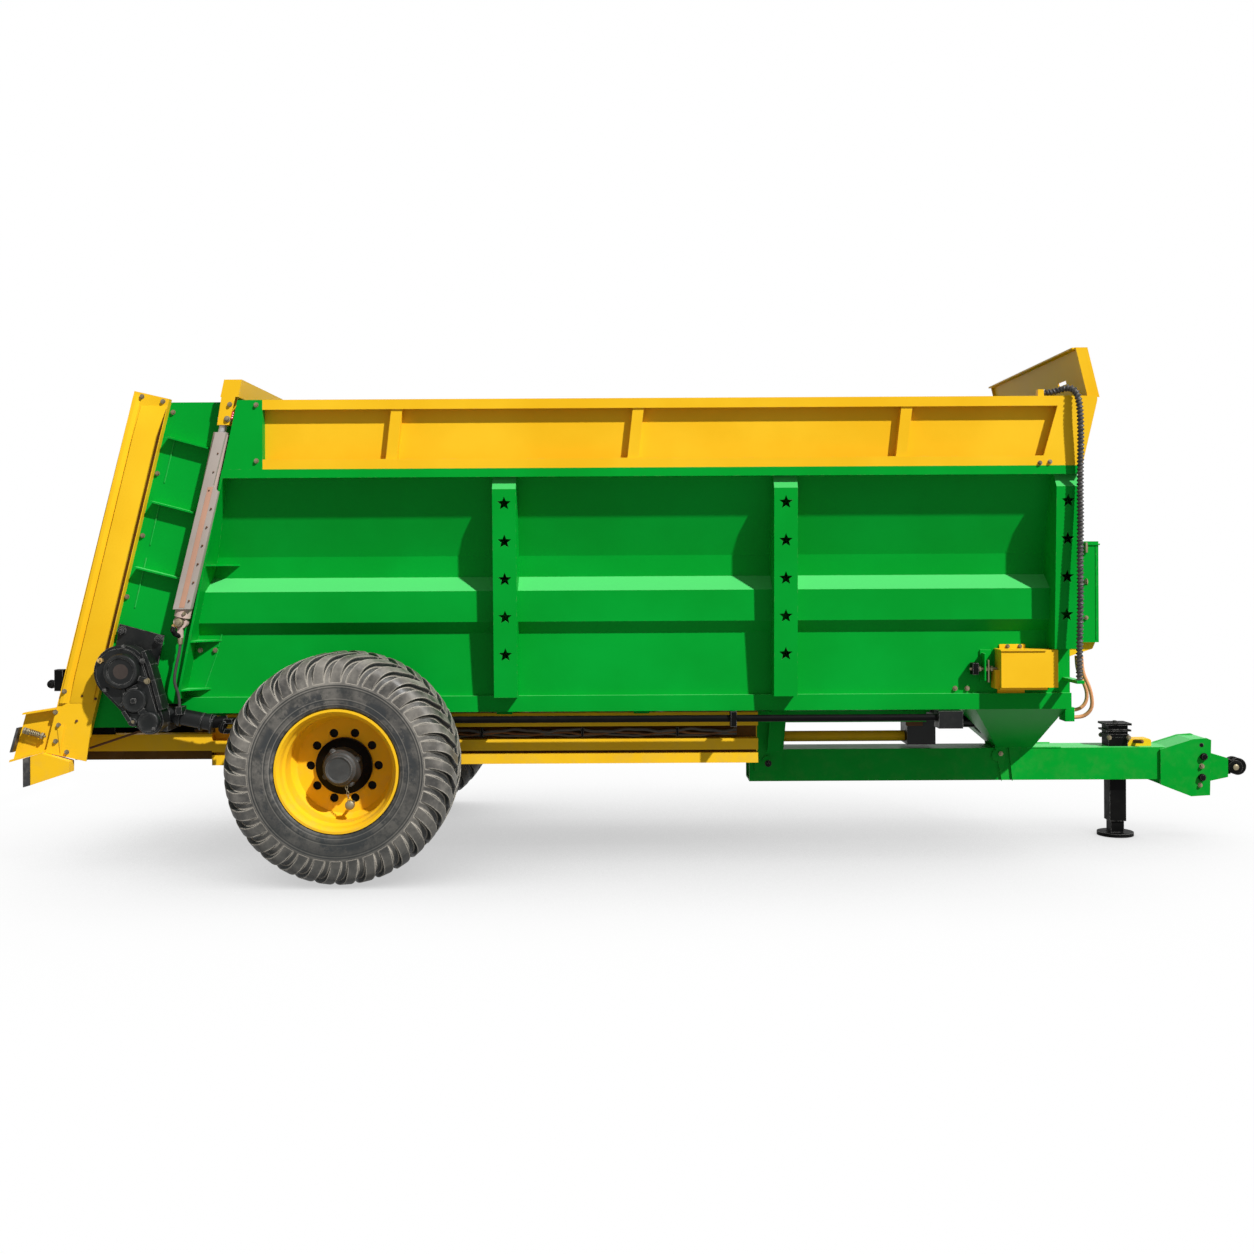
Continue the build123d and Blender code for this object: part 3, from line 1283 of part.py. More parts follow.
# The shaft dips under the axle beam, with a joint behind it
JOINT_X = AXLE_X - 170.0
JOINT_Z = 450.0
COVER_RADIUS = 40.0
with BuildPart() as spinner_shaft:
    rod((CHASSIS_FRONT - 10.0, 0, GUARD_Z), (GEARBOX_REAR, 0, GUARD_Z), GUARD_RADIUS)
    rod((JOINT_X + 20.0, 0, JOINT_Z), (CHASSIS_FRONT - 60.0, 0, GUARD_Z), GUARD_RADIUS)
    rod((DISC_X + 60.0, 0, CENTRE_BASE + 45.0), (JOINT_X - 20.0, 0, JOINT_Z), GUARD_RADIUS)
    for joint_x, joint_z in ((JOINT_X, JOINT_Z), (CHASSIS_FRONT - 35.0, GUARD_Z)):
        rod((joint_x - 65.0, 0, joint_z), (joint_x + 65.0, 0, joint_z), COVER_RADIUS)
    block((DISC_X, DISC_X + 100.0), (-60.0, 60.0), (CENTRE_BASE - 10.0, POT_TOP), Mode.SUBTRACT)
save(spinner_shaft, "spinner_shaft")

# ---------------------------------------------------------------- boxes, lamps and brackets
with BuildPart() as chain_cover:
    block((BODY_FRONT - 389.0, BODY_FRONT - 99.0), (-800.0, -LOWER_OUT), (912.0, 1105.0))
    block((BODY_FRONT - 394.0, BODY_FRONT - 160.0), (-808.0, -LOWER_OUT), (1100.0, 1107.0))
    block((BODY_FRONT - 410.0, BODY_FRONT - 389.0), (-760.0, -LOWER_OUT), (905.0, 1000.0))
    block((BODY_FRONT - 394.0, BODY_FRONT - 150.0), (-790.0, -LOWER_OUT), (900.0, 912.0))
save(chain_cover, "chain_cover")

BOX_BASE = 1136.0
with BuildPart() as front_box:
    block((BODY_FRONT, BODY_FRONT + 148.0), (-690.0, -450.0), (BOX_BASE, 1660.0))
    block((BODY_FRONT, BODY_FRONT + 154.0), (-696.0, -444.0), (1640.0, 1648.0))
save(front_box, "front_box")

SHELF_Z = 940.0
with BuildPart() as hose_brackets:
    side_plate(
        560.0,
        100.0,
        [
            (BODY_FRONT, BOX_BASE),
            (BODY_FRONT + 140.0, BOX_BASE),
            (BODY_FRONT + 125.0, BOX_BASE - 35.0),
            (BODY_FRONT, BOX_BASE - 76.0),
        ],
    )
    block((BODY_FRONT - 12.0, BODY_FRONT + 36.0), (-BASE_RAIL_IN + 5.0, -540.0), (720.0, BODY_BASE))
    block((BODY_FRONT - 39.0, BODY_FRONT), (-905.0, -LOWER_OUT), (SHELF_Z, SHELF_Z + 15.0))
    block((BODY_FRONT - 210.0, BODY_FRONT - 180.0), (-850.0, -812.0), (BOARD_TOP, BOARD_TOP + 34.0))
save(hose_brackets, "hose_brackets")

with BuildPart() as rear_lamps:
    side_plate(
        FRAME_OUT + FOOT_SHEET - FOOT_DEPTH,
        48.0,
        along_frame([(364.8, 735), (378, 735), (383, 610), (369.3, 610)]),
    )
    side_plate(LAMP_OUT, 70.0, [(BODY_REAR + x, z) for x, z in LAMP_END])
    mirror(about=Plane.XZ)
save(rear_lamps, "rear_lamps")


# ---------------------------------------------------------------- hoses
def hose(label, radius, points):
    """A round hose along straight runs joined by arcs as large as its runs allow."""
    corners = [Vector(*point) for point in points]
    radii = []
    for before, corner, after in zip(corners, corners[1:], corners[2:]):
        turn = radians((corner - before).get_angle(after - corner))
        shorter = min((corner - before).length, (after - corner).length)
        radii.append(0.45 * shorter / tan(turn / 2))
    with BuildPart() as tube:
        with BuildLine():
            route = FilletPolyline(*corners, radius=radii)
        with BuildSketch(Plane(origin=points[0], z_dir=route % 0)):
            Circle(radius)
        sweep()
    save(tube, label)
    expected = route.length * pi * radius**2
    print(label, "radii", [round(value) for value in radii], "length", round(route.length))
    print(label, "volume ratio", round(tube.part.volume / expected, 4))


hose(
    "hose_bundle",
    12.5,
    [
        (1944.0, -830.0, 2413.0),
        (1990.0, -830.0, 2413.0),
        (2036.0, -840.0, 2432.0),
        (2076.0, -870.0, 2438.0),
        (2100.0, -902.0, 2398.0),
        (2108.0, -911.0, 2310.0),
        (2112.0, -904.0, 2160.0),
        (2110.0, -894.0, 1960.0),
        (2112.0, -893.0, 1770.0),
        (2109.0, -892.0, 1590.0),
        (2111.0, -890.0, 1400.0),
        (2108.0, -888.0, 1220.0),
        (2105.0, -885.0, 1070.0),
        (2105.0, -885.0, 955.0),
    ],
)
hose(
    "hose_loop_outer",
    10.0,
    [
        (2200.0, -635.0, 1060.0),
        (2200.0, -635.0, 985.0),
        (2240.0, -638.0, 900.0),
        (2255.0, -634.0, 835.0),
        (2255.0, -628.0, 789.0),
        (2236.0, -618.0, 757.0),
        (2204.0, -606.0, 738.0),
        (2160.0, -606.0, 738.0),
    ],
)
hose(
    "hose_loop_inner",
    10.0,
    [
        (2190.0, -585.0, 1060.0),
        (2190.0, -585.0, 990.0),
        (2226.0, -580.0, 925.0),
        (2247.0, -576.0, 872.0),
        (2247.0, -574.0, 825.0),
        (2228.0, -572.0, 791.0),
        (2194.0, -570.0, 772.0),
        (2160.0, -570.0, 772.0),
    ],
)
hose(
    "cylinder_hose",
    8.0,
    [
        (EYE[0], -CYLINDER_OUT - 15.0, EYE[1] - 80.0),
        (EYE[0], -CYLINDER_OUT - 15.0, EYE[1] - 135.0),
        (EYE[0] - 20.0, -CYLINDER_OUT - 18.0, EYE[1] - 215.0),
        (EYE[0] - 36.0, -CYLINDER_OUT - 14.0, EYE[1] - 305.0),
        (TUBE_END - 148.0, -CYLINDER_OUT + 14.0, EYE[1] - 375.0),
        (TUBE_END - 148.0, -CYLINDER_OUT + 14.0, 840.0),
    ],
)
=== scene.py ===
"""Looks of a towed manure spreader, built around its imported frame.

Every place is in metres in the row frame: +X towards the drawbar, +Y to the machine's left, +Z up.
The near side, with the gearbox and the hoses, is the right, at -Y.
"""

from __future__ import annotations

import logging
import math
from dataclasses import dataclass, field
from enum import Enum
from typing import Sequence

import bmesh
import bpy
from mathutils import Matrix, Vector

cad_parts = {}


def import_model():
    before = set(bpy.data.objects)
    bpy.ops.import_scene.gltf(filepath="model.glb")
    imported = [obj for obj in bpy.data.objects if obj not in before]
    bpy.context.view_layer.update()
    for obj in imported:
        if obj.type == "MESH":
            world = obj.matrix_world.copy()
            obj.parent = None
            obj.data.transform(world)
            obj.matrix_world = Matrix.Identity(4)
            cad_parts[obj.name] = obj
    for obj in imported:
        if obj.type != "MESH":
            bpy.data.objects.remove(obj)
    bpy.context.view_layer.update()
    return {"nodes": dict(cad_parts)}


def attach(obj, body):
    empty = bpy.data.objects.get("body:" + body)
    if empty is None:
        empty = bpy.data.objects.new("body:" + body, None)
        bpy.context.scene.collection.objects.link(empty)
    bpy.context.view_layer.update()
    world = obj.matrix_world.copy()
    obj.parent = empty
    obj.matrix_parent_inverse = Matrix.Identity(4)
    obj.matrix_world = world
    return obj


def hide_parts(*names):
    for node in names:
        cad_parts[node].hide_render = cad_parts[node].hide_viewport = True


LOG = logging.getLogger("spreader")
Colour = tuple[float, float, float]
Point = tuple[float, float, float]
Section = Sequence[tuple[float, float]]
FULL_TURN = 2 * math.pi
TYRE_RADIUS = 0.565
AXLE_X, AXLE_Z = -1.580, TYRE_RADIUS
WHEEL_OUT = 1.0


class Body(Enum):
    """The rigid bodies that a piece can ride on."""

    ROOT = "root"
    WHEEL_RIGHT = "wheel_right"
    WHEEL_LEFT = "wheel_left"
    DOOR = "door"
    JACK = "jack"
    BEATER_LOWER = "beater_lower"
    BEATER_UPPER = "beater_upper"
    SPINNER_RIGHT = "spinner_right"
    SPINNER_LEFT = "spinner_left"


class Slot(Enum):
    """The record's material slots."""

    GREEN = "green_paint"
    YELLOW = "yellow_paint"
    CHARCOAL = "gearbox_paint"
    BLACK = "black_paint"
    STEEL = "bare_steel"
    PRIMER = "primer"
    TYRE = "tyre_rubber"
    HOSE_BLACK = "hose_black"
    HOSE_TAN = "hose_tan"
    LAMP = "lamp_plastic"


# ---------------------------------------------------------------- node trees
class Channel:
    """A node socket whose arithmetic adds Math nodes to its tree."""

    def __init__(self, tree: "Tree", socket: bpy.types.NodeSocket) -> None:
        """Keep the socket and the tree that it belongs to."""
        self.tree = tree
        self.socket = socket

    def __add__(self, other: "Value") -> "Channel":
        """Sum of two values."""
        return self.tree.math("ADD", self, other)

    __radd__ = __add__

    def __sub__(self, other: "Value") -> "Channel":
        """This value less another."""
        return self.tree.math("SUBTRACT", self, other)

    def __rsub__(self, other: "Value") -> "Channel":
        """Another value less this one."""
        return self.tree.math("SUBTRACT", other, self)

    def __mul__(self, other: "Value") -> "Channel":
        """Product of two values."""
        return self.tree.math("MULTIPLY", self, other)

    __rmul__ = __mul__

    def __truediv__(self, other: "Value") -> "Channel":
        """This value divided by another."""
        return self.tree.math("DIVIDE", self, other)

    def __abs__(self) -> "Channel":
        """Size of this value without its sign."""
        return self.tree.math("ABSOLUTE", self)

    def larger(self, other: "Value") -> "Channel":
        """The larger of two values."""
        return self.tree.math("MAXIMUM", self, other)

    def ramp(self, start: float, end: float, low: float = 0.0, high: float = 1.0) -> "Channel":
        """Smooth step of this value.

        Args:
            start: The value at which the result is low.
            end: The value at which the result is high.
            low: The result below start.
            high: The result above end.

        Returns:
            The stepped value.
        """
        return self.tree.channel(
            "ShaderNodeMapRange",
            {"interpolation_type": "SMOOTHSTEP"},
            {0: self, 1: start, 2: end, 3: low, 4: high},
        )


Value = Channel | float


class Tree:
    """A node tree that is built by naming nodes and what feeds them."""

    def __init__(self, nodes: bpy.types.NodeTree) -> None:
        """Keep the tree and clear it."""
        self.nodes = nodes
        nodes.nodes.clear()

    def node(
        self,
        kind: str,
        settings: dict[str, object] | None = None,
        inputs: dict[int | str, object] | None = None,
    ) -> bpy.types.Node:
        """Add one node.

        Args:
            kind: The node's type name.
            settings: Its own settings, set before its sockets.
            inputs: Values or links of its sockets, by name or number.

        Returns:
            The new node.
        """
        made = self.nodes.nodes.new(kind)
        for name, value in (settings or {}).items():
            setattr(made, name, value)
        for key, value in (inputs or {}).items():
            self.feed(made.inputs[key], value)
        return made

    def channel(
        self,
        kind: str,
        settings: dict[str, object] | None = None,
        inputs: dict[int | str, object] | None = None,
        output: int | str = 0,
    ) -> Channel:
        """Add one node and hand over one of its outputs.

        Args:
            kind: The node's type name.
            settings: Its own settings, set before its sockets.
            inputs: Values or links of its sockets, by name or number.
            output: Name or number of the output.

        Returns:
            The output as a channel.
        """
        return Channel(self, self.node(kind, settings, inputs).outputs[output])

    def feed(self, socket: bpy.types.NodeSocket, value: object) -> None:
        """Link a socket, or set its value.

        Args:
            socket: The socket that is fed.
            value: A channel or another socket to link, or a plain value to set.
        """
        if isinstance(value, Channel):
            self.nodes.links.new(value.socket, socket)
        elif isinstance(value, bpy.types.NodeSocket):
            self.nodes.links.new(value, socket)
        else:
            socket.default_value = value

    def math(self, operation: str, *values: Value) -> Channel:
        """Add a Math node on up to three values."""
        return self.channel("ShaderNodeMath", {"operation": operation}, dict(enumerate(values)))


class Recipe(Tree):
    """One material: its node tree and the surface shader that it ends in."""

    def __init__(self, name: str) -> None:
        """Start a material with a surface shader and its object coordinates."""
        self.material = bpy.data.materials.new(name)
        self.material.use_nodes = True
        super().__init__(self.material.node_tree)
        self.shader = self.node("ShaderNodeBsdfPrincipled")
        self.output = self.node("ShaderNodeOutputMaterial", inputs={"Surface": self.shader.outputs[0]})
        self.place = self.node("ShaderNodeTexCoord").outputs["Object"]
        self.relief: bpy.types.NodeSocket | None = None

    def axis(self, number: int) -> Channel:
        """Place along X, Y or Z."""
        return self.channel("ShaderNodeSeparateXYZ", inputs={0: self.place}, output=number)

    def upward(self) -> Channel:
        """How far a face looks up, from -1 to 1."""
        normal = self.node("ShaderNodeNewGeometry").outputs["True Normal"]
        return self.channel("ShaderNodeSeparateXYZ", inputs={0: normal}, output=2)

    def reach(self, centre: Point) -> Channel:
        """Distance from an axis along Y.

        Args:
            centre: A point on the axis.

        Returns:
            The distance in metres.
        """
        flat = self.node(
            "ShaderNodeMapping",
            inputs={"Vector": self.place, "Location": (-centre[0], 0.0, -centre[2]), "Scale": (1.0, 0.0, 1.0)},
        )
        return self.channel("ShaderNodeVectorMath", {"operation": "LENGTH"}, {0: flat.outputs[0]}, "Value")

    def noise(
        self, scale: float, detail: float = 3.0, rough: float = 0.5, stretch: Point = (1.0, 1.0, 1.0)
    ) -> Channel:
        """Cloudy noise over the object.

        Args:
            scale: Clouds to a metre.
            detail: Number of finer layers.
            rough: Share of the finer layers.
            stretch: Scale along each axis, for streaks.

        Returns:
            The noise, from 0 to 1.
        """
        spot = self.node("ShaderNodeMapping", inputs={"Vector": self.place, "Scale": stretch})
        return self.channel(
            "ShaderNodeTexNoise",
            inputs={"Vector": spot.outputs[0], "Scale": scale, "Detail": detail, "Roughness": rough},
        )

    def blend(self, factor: Value, first: object, second: object) -> bpy.types.NodeSocket:
        """Mix two colours.

        Args:
            factor: Share of the second.
            first: A colour, or the socket of one.
            second: A colour, or the socket of one.

        Returns:
            The socket of the mixed colour.
        """
        ends = [(*end, 1.0) if isinstance(end, tuple) else end for end in (first, second)]
        made = self.node("ShaderNodeMix", {"data_type": "RGBA"}, {0: factor, 6: ends[0], 7: ends[1]})
        return made.outputs[2]

    def edges(self, width: float) -> Channel:
        """How near a point is to a sharp outer edge, from 0 to 1."""
        rounded = self.node("ShaderNodeBevel", {"samples": 4}, {"Radius": width}).outputs[0]
        flat = self.node("ShaderNodeNewGeometry").outputs["True Normal"]
        match = self.channel("ShaderNodeVectorMath", {"operation": "DOT_PRODUCT"}, {0: rounded, 1: flat}, "Value")
        return (1.0 - match).ramp(0.01, 0.16)

    def shut(self, reach: float) -> Channel:
        """How closed in a point is by what stands within reach of it, from 0 to 1."""
        settings = {"samples": 6, "only_local": True}
        free = self.channel("ShaderNodeAmbientOcclusion", settings, {"Distance": reach}, "AO")
        return (1.0 - free).ramp(0.12, 0.42)

    def bump(self, height: Channel, depth: float, strength: float = 1.0) -> None:
        """Add relief to the surface.

        Args:
            height: The relief, from 0 to 1.
            depth: Its height in metres.
            strength: Its share.
        """
        inputs: dict[int | str, object] = {"Strength": strength, "Distance": depth, "Height": height}
        if self.relief is not None:
            inputs["Normal"] = self.relief
        self.relief = self.node("ShaderNodeBump", inputs=inputs).outputs[0]
        self.feed(self.shader.inputs["Normal"], self.relief)

    def surface(self, **values: object) -> bpy.types.Material:
        """Feed the surface shader's sockets and hand over the material.

        Args:
            values: Socket values or links; an underscore stands for a space.

        Returns:
            The finished material.
        """
        for name, value in values.items():
            plain = (*value, 1.0) if isinstance(value, tuple) else value
            self.feed(self.shader.inputs[name.replace("_", " ")], plain)
        return self.material


# ---------------------------------------------------------------- finishes
@dataclass(frozen=True)
class Enamel:
    """Sprayed enamel on folded plate, with faint clouds, dust low down, worn edges and a painted sheen on faces that
    look up.
    """

    name: str
    colour: Colour
    shade: Colour
    roughness: float = 0.32
    wear: float = 0.25
    dust: float = 0.25
    dust_top: float = 0.9
    bare: Colour = (0.30, 0.29, 0.27)
    soil: Colour = (0.30, 0.25, 0.17)
    painted_sheen_colour: Colour = (0.10, 0.62, 0.17)
    painted_sheen: float = 0.0

    def mix(self) -> bpy.types.Material:
        """Build the material."""
        recipe = Recipe(self.name)
        clouds = recipe.noise(1.7, 4.0, 0.55)
        streaks = recipe.noise(6.0, 3.0, 0.6, (1.0, 1.0, 0.12))
        tone = recipe.blend(clouds.ramp(0.3, 0.75), self.shade, self.colour)
        tone = recipe.blend(streaks.ramp(0.55, 0.8) * 0.12, tone, self.shade)
        # Painted sheen: faces that look up are lightened towards a paler colour, a painted reflection of the bright
        # sky.
        tone = recipe.blend(recipe.upward().ramp(0.25, 0.75) * self.painted_sheen, tone, self.painted_sheen_colour)
        low = recipe.axis(2).ramp(self.dust_top, 0.1)
        grime = recipe.noise(14.0, 5.0, 0.65).ramp(0.42, 0.72) * low * self.dust
        tone = recipe.blend(grime, tone, self.soil)
        chips = recipe.edges(0.004) * recipe.noise(38.0, 3.0, 0.6).ramp(0.52, 0.62) * self.wear
        tone = recipe.blend(chips, tone, self.bare)
        peel = recipe.noise(420.0, 2.0)
        recipe.bump(peel, 0.0004, 0.12)
        recipe.bump(recipe.noise(3.2, 2.0), 0.012, 0.10)
        gloss = self.roughness + clouds * 0.12 + grime * 0.5
        return recipe.surface(Base_Color=tone, Roughness=gloss, Specular_IOR_Level=0.06)


@dataclass(frozen=True)
class BareSteel:
    """Mill or machined steel, with grain, stains and light rust."""

    name: str
    colour: Colour = (0.42, 0.41, 0.40)
    stain: Colour = (0.16, 0.10, 0.06)
    stained: float = 0.5
    roughness: float = 0.38

    def mix(self) -> bpy.types.Material:
        """Build the material."""
        recipe = Recipe(self.name)
        grain = recipe.noise(90.0, 3.0, 0.6, (0.15, 1.0, 1.0))
        blotch = recipe.noise(9.0, 5.0, 0.7).ramp(0.48, 0.72) * self.stained
        tone = recipe.blend(blotch, self.colour, self.stain)
        recipe.bump(grain, 0.0006, 0.2)
        rough = self.roughness + blotch * 0.35 + grain * 0.1
        return recipe.surface(Base_Color=tone, Roughness=rough, Metallic=0.85 - blotch * 0.6)


@dataclass(frozen=True)
class CastPaint:
    """Paint over sand-cast iron or rough forged steel, with a fine pitted skin."""

    name: str
    colour: Colour
    light: Colour
    grain: float = 260.0
    roughness: float = 0.5
    shine: float = 0.2

    def mix(self) -> bpy.types.Material:
        """Build the material."""
        recipe = Recipe(self.name)
        skin = recipe.noise(self.grain, 4.0, 0.6)
        dusty = recipe.noise(11.0, 5.0, 0.65).ramp(0.4, 0.75)
        tone = recipe.blend(dusty * 0.55, self.colour, self.light)
        # Rubbed edges: pale worn paint, made stronger as a painted highlight along the edges.
        rub = recipe.edges(0.005) * recipe.noise(30.0, 3.0).ramp(0.3, 0.55) * 0.75
        tone = recipe.blend(rub, tone, (0.26, 0.25, 0.24))
        recipe.bump(skin, 0.0012, 0.35)
        rough = self.roughness + dusty * 0.2 - rub * 0.15
        return recipe.surface(Base_Color=tone, Roughness=rough, Specular_IOR_Level=self.shine)


@dataclass(frozen=True)
class Rubber:
    """Tyre or hose rubber, black under a bloom of dust."""

    name: str
    colour: Colour = (0.028, 0.027, 0.025)
    bloom: Colour = (0.16, 0.145, 0.12)
    dust: float = 0.55
    grain: float = 320.0
    roughness: float = 0.62

    def mix(self) -> bpy.types.Material:
        """Build the material."""
        recipe = Recipe(self.name)
        patches = recipe.noise(7.0, 5.0, 0.65).ramp(0.3, 0.75)
        scuffs = recipe.noise(45.0, 4.0, 0.7).ramp(0.45, 0.75)
        tone = recipe.blend(patches * self.dust, self.colour, self.bloom)
        tone = recipe.blend(scuffs * self.dust * 0.5, tone, self.bloom)
        edge = recipe.edges(0.005) * self.dust
        tone = recipe.blend(edge, tone, self.bloom)
        recipe.bump(recipe.noise(self.grain, 3.0, 0.6), 0.0008, 0.3)
        return recipe.surface(Base_Color=tone, Roughness=self.roughness + patches * 0.2)


@dataclass(frozen=True)
class TyreWall:
    """Tyre rubber with dust, stains and dark streaks, painted shadow and highlight lines at its moulded rings, and
    painted shade low down and between the lugs.
    """

    name: str
    centre: Point
    colour: Colour = (0.040, 0.038, 0.035)
    dark: Colour = (0.006, 0.009, 0.009)
    bloom: Colour = (0.33, 0.305, 0.265)
    rub: Colour = (0.40, 0.365, 0.31)
    stain: Colour = (0.016, 0.019, 0.021)

    def mix(self) -> bpy.types.Material:
        """Build the material."""
        recipe = Recipe(self.name)
        reach = recipe.reach(self.centre)
        patches = recipe.noise(6.0, 5.0, 0.65).ramp(0.32, 0.72)
        scuffs = recipe.noise(34.0, 5.0, 0.7).ramp(0.40, 0.72)
        streaks = recipe.noise(16.0, 4.0, 0.7, (1.0, 0.4, 1.0)).ramp(0.45, 0.7)
        tread = reach.ramp(0.405, 0.43)
        side = 1.0 - tread
        tone = recipe.blend(patches * (0.30 + tread * 0.32) + scuffs * 0.12, self.colour, self.bloom)
        tone = recipe.blend(streaks * side * 0.75, tone, self.dark)
        inner = 1.0 - reach.ramp(0.372, 0.405)
        stains = recipe.noise(9.0, 6.0, 0.75).ramp(0.47, 0.56)
        tone = recipe.blend(stains * inner * 0.9, tone, self.stain)
        # Painted shadow and highlight at each moulded ring: a dark line, with a pale line just outside it.
        for middle in (0.404, 0.416, 0.318, 0.345):
            line = 1.0 - abs(reach - middle).ramp(0.001, 0.004)
            tone = recipe.blend(line * 0.7, tone, self.dark)
            pale = 1.0 - abs(reach - (middle + 0.006)).ramp(0.0005, 0.003)
            tone = recipe.blend(pale * 0.35, tone, self.bloom)
        # Painted shade: darker towards the bottom of the tyre, and darker in the closed-in gaps between the lugs of
        # the tread.
        low = recipe.axis(2).ramp(0.60, 0.10)
        tone = recipe.blend(low * 0.62, tone, self.dark)
        tone = recipe.blend(recipe.shut(0.060) * tread * 1.8, tone, self.dark)
        edge = recipe.edges(0.011) * tread
        tone = recipe.blend(edge * 1.4, tone, self.rub)
        recipe.bump(recipe.noise(320.0, 3.0, 0.6), 0.0008, 0.3)
        recipe.bump(recipe.noise(26.0, 4.0, 0.6), 0.004, 0.25)
        return recipe.surface(Base_Color=tone, Roughness=0.42 + patches * 0.3, Specular_IOR_Level=0.45)


@dataclass(frozen=True)
class Plastic:
    """Moulded plastic, plain or clear tinted."""

    name: str
    colour: Colour
    roughness: float = 0.4

    def mix(self) -> bpy.types.Material:
        """Build the material."""
        recipe = Recipe(self.name)
        haze = recipe.noise(25.0, 3.0)
        tone = recipe.blend(haze.ramp(0.45, 0.8) * 0.3, self.colour, (0.3, 0.28, 0.25))
        recipe.bump(recipe.noise(500.0, 2.0), 0.0003, 0.2)
        return recipe.surface(Base_Color=tone, Roughness=self.roughness + haze * 0.15)


GREEN = Enamel("green_enamel", (0.0006, 0.352, 0.030), (0.0003, 0.300, 0.022), dust=0.07, painted_sheen=0.75)
# Dark brown that stands for shaded yellow: painted shade on the spinner beam and in the chassis rails' recess and
# slot.
SHADE_BROWN = Enamel("painted_shade_brown", (0.16, 0.075, 0.014), (0.07, 0.035, 0.010), 0.6)
YELLOW = Enamel("yellow_enamel", (0.93, 0.555, 0.020), (0.86, 0.480, 0.012))
CHARCOAL = CastPaint("charcoal_casting", (0.006, 0.007, 0.007), (0.024, 0.024, 0.022), roughness=0.38)
BLACK = CastPaint("black_paint", (0.002, 0.002, 0.002), (0.008, 0.0075, 0.007), 180.0, 0.5, 0.06)
STEEL = BareSteel("floor_steel")
ZINC = BareSteel("zinc_plate", (0.26, 0.22, 0.14), (0.10, 0.07, 0.03), 0.7, 0.45)
BRASS = BareSteel("brass_fitting", (0.62, 0.42, 0.16), (0.24, 0.14, 0.05), 0.4, 0.3)
RUST = Enamel("rusted_steel", (0.22, 0.100, 0.045), (0.12, 0.055, 0.028), 0.7)
# Lighter green than the panels: a painted highlight along the weld beads.
WELD = Enamel("weld_bead", (0.020, 0.43, 0.065), (0.006, 0.37, 0.04))
# Dark brown for the groove at the rear frame's front edge: painted shadow in the recess.
GROOVE_SHADOW = Enamel("groove_painted_shadow", (0.105, 0.040, 0.004), (0.05, 0.020, 0.003), 0.5)
PRIMER = Enamel("pink_primer", (0.62, 0.46, 0.40), (0.50, 0.38, 0.34), 0.5, 0.5, 0.3, 2.6)
GREY_PAINT = Enamel("grey_guard_paint", (0.47, 0.42, 0.38), (0.38, 0.32, 0.28), 0.5, 0.5, 0.4, 2.6)
TYRE_RUBBER = TyreWall("tyre_rubber", (AXLE_X, 0.0, AXLE_Z))
HUB_CAST = CastPaint("hub_casting", (0.042, 0.042, 0.040), (0.090, 0.088, 0.082), 200.0, 0.45)
CAP_DISC = CastPaint("cap_disc", (0.040, 0.030, 0.026), (0.075, 0.060, 0.050))
GUARD_STRIPE = Enamel("guard_stripe", (0.60, 0.33, 0.22), (0.48, 0.27, 0.19), 0.5, 0.5, 0.3, 2.6)
BLACK_HOSE = Rubber("black_hose", dust=0.15)
WORN_HOSE = Rubber("worn_hose", (0.060, 0.055, 0.048), (0.13, 0.118, 0.098))
TAN_HOSE = Rubber("tan_hose", (0.62, 0.27, 0.10), (0.75, 0.42, 0.22), 0.4, 500.0, 0.45)
BLACK_PLASTIC = Plastic("black_plastic", (0.014, 0.014, 0.015))
RED_LENS = Plastic("red_lens", (0.55, 0.015, 0.012), 0.12)
AMBER_LENS = Plastic("amber_lens", (0.80, 0.23, 0.01), 0.12)
Finish = Enamel | BareSteel | CastPaint | Rubber | TyreWall | Plastic


class PaintShop:
    """Mixes each finish once and hands out its material."""

    def __init__(self) -> None:
        """Start with nothing mixed."""
        self.mixed: dict[str, bpy.types.Material] = {}

    def get(self, finish: Finish) -> bpy.types.Material:
        """Return the material of a finish."""
        if finish.name not in self.mixed:
            self.mixed[finish.name] = finish.mix()
        return self.mixed[finish.name]


SHOP = PaintShop()


# ---------------------------------------------------------------- mesh work
SMOOTH_BELOW = math.radians(35.0)


def stand(name: str, data: bpy.types.ID) -> bpy.types.Object:
    """Put new data into the scene as an object."""
    made = bpy.data.objects.new(name, data)
    bpy.context.scene.collection.objects.link(made)
    return made


def plain_mesh(piece: bpy.types.Object) -> bpy.types.Mesh:
    """The mesh that an object comes to, with its modifiers or its curve worked out."""
    bpy.context.view_layer.update()
    return bpy.data.meshes.new_from_object(piece.evaluated_get(bpy.context.evaluated_depsgraph_get()))


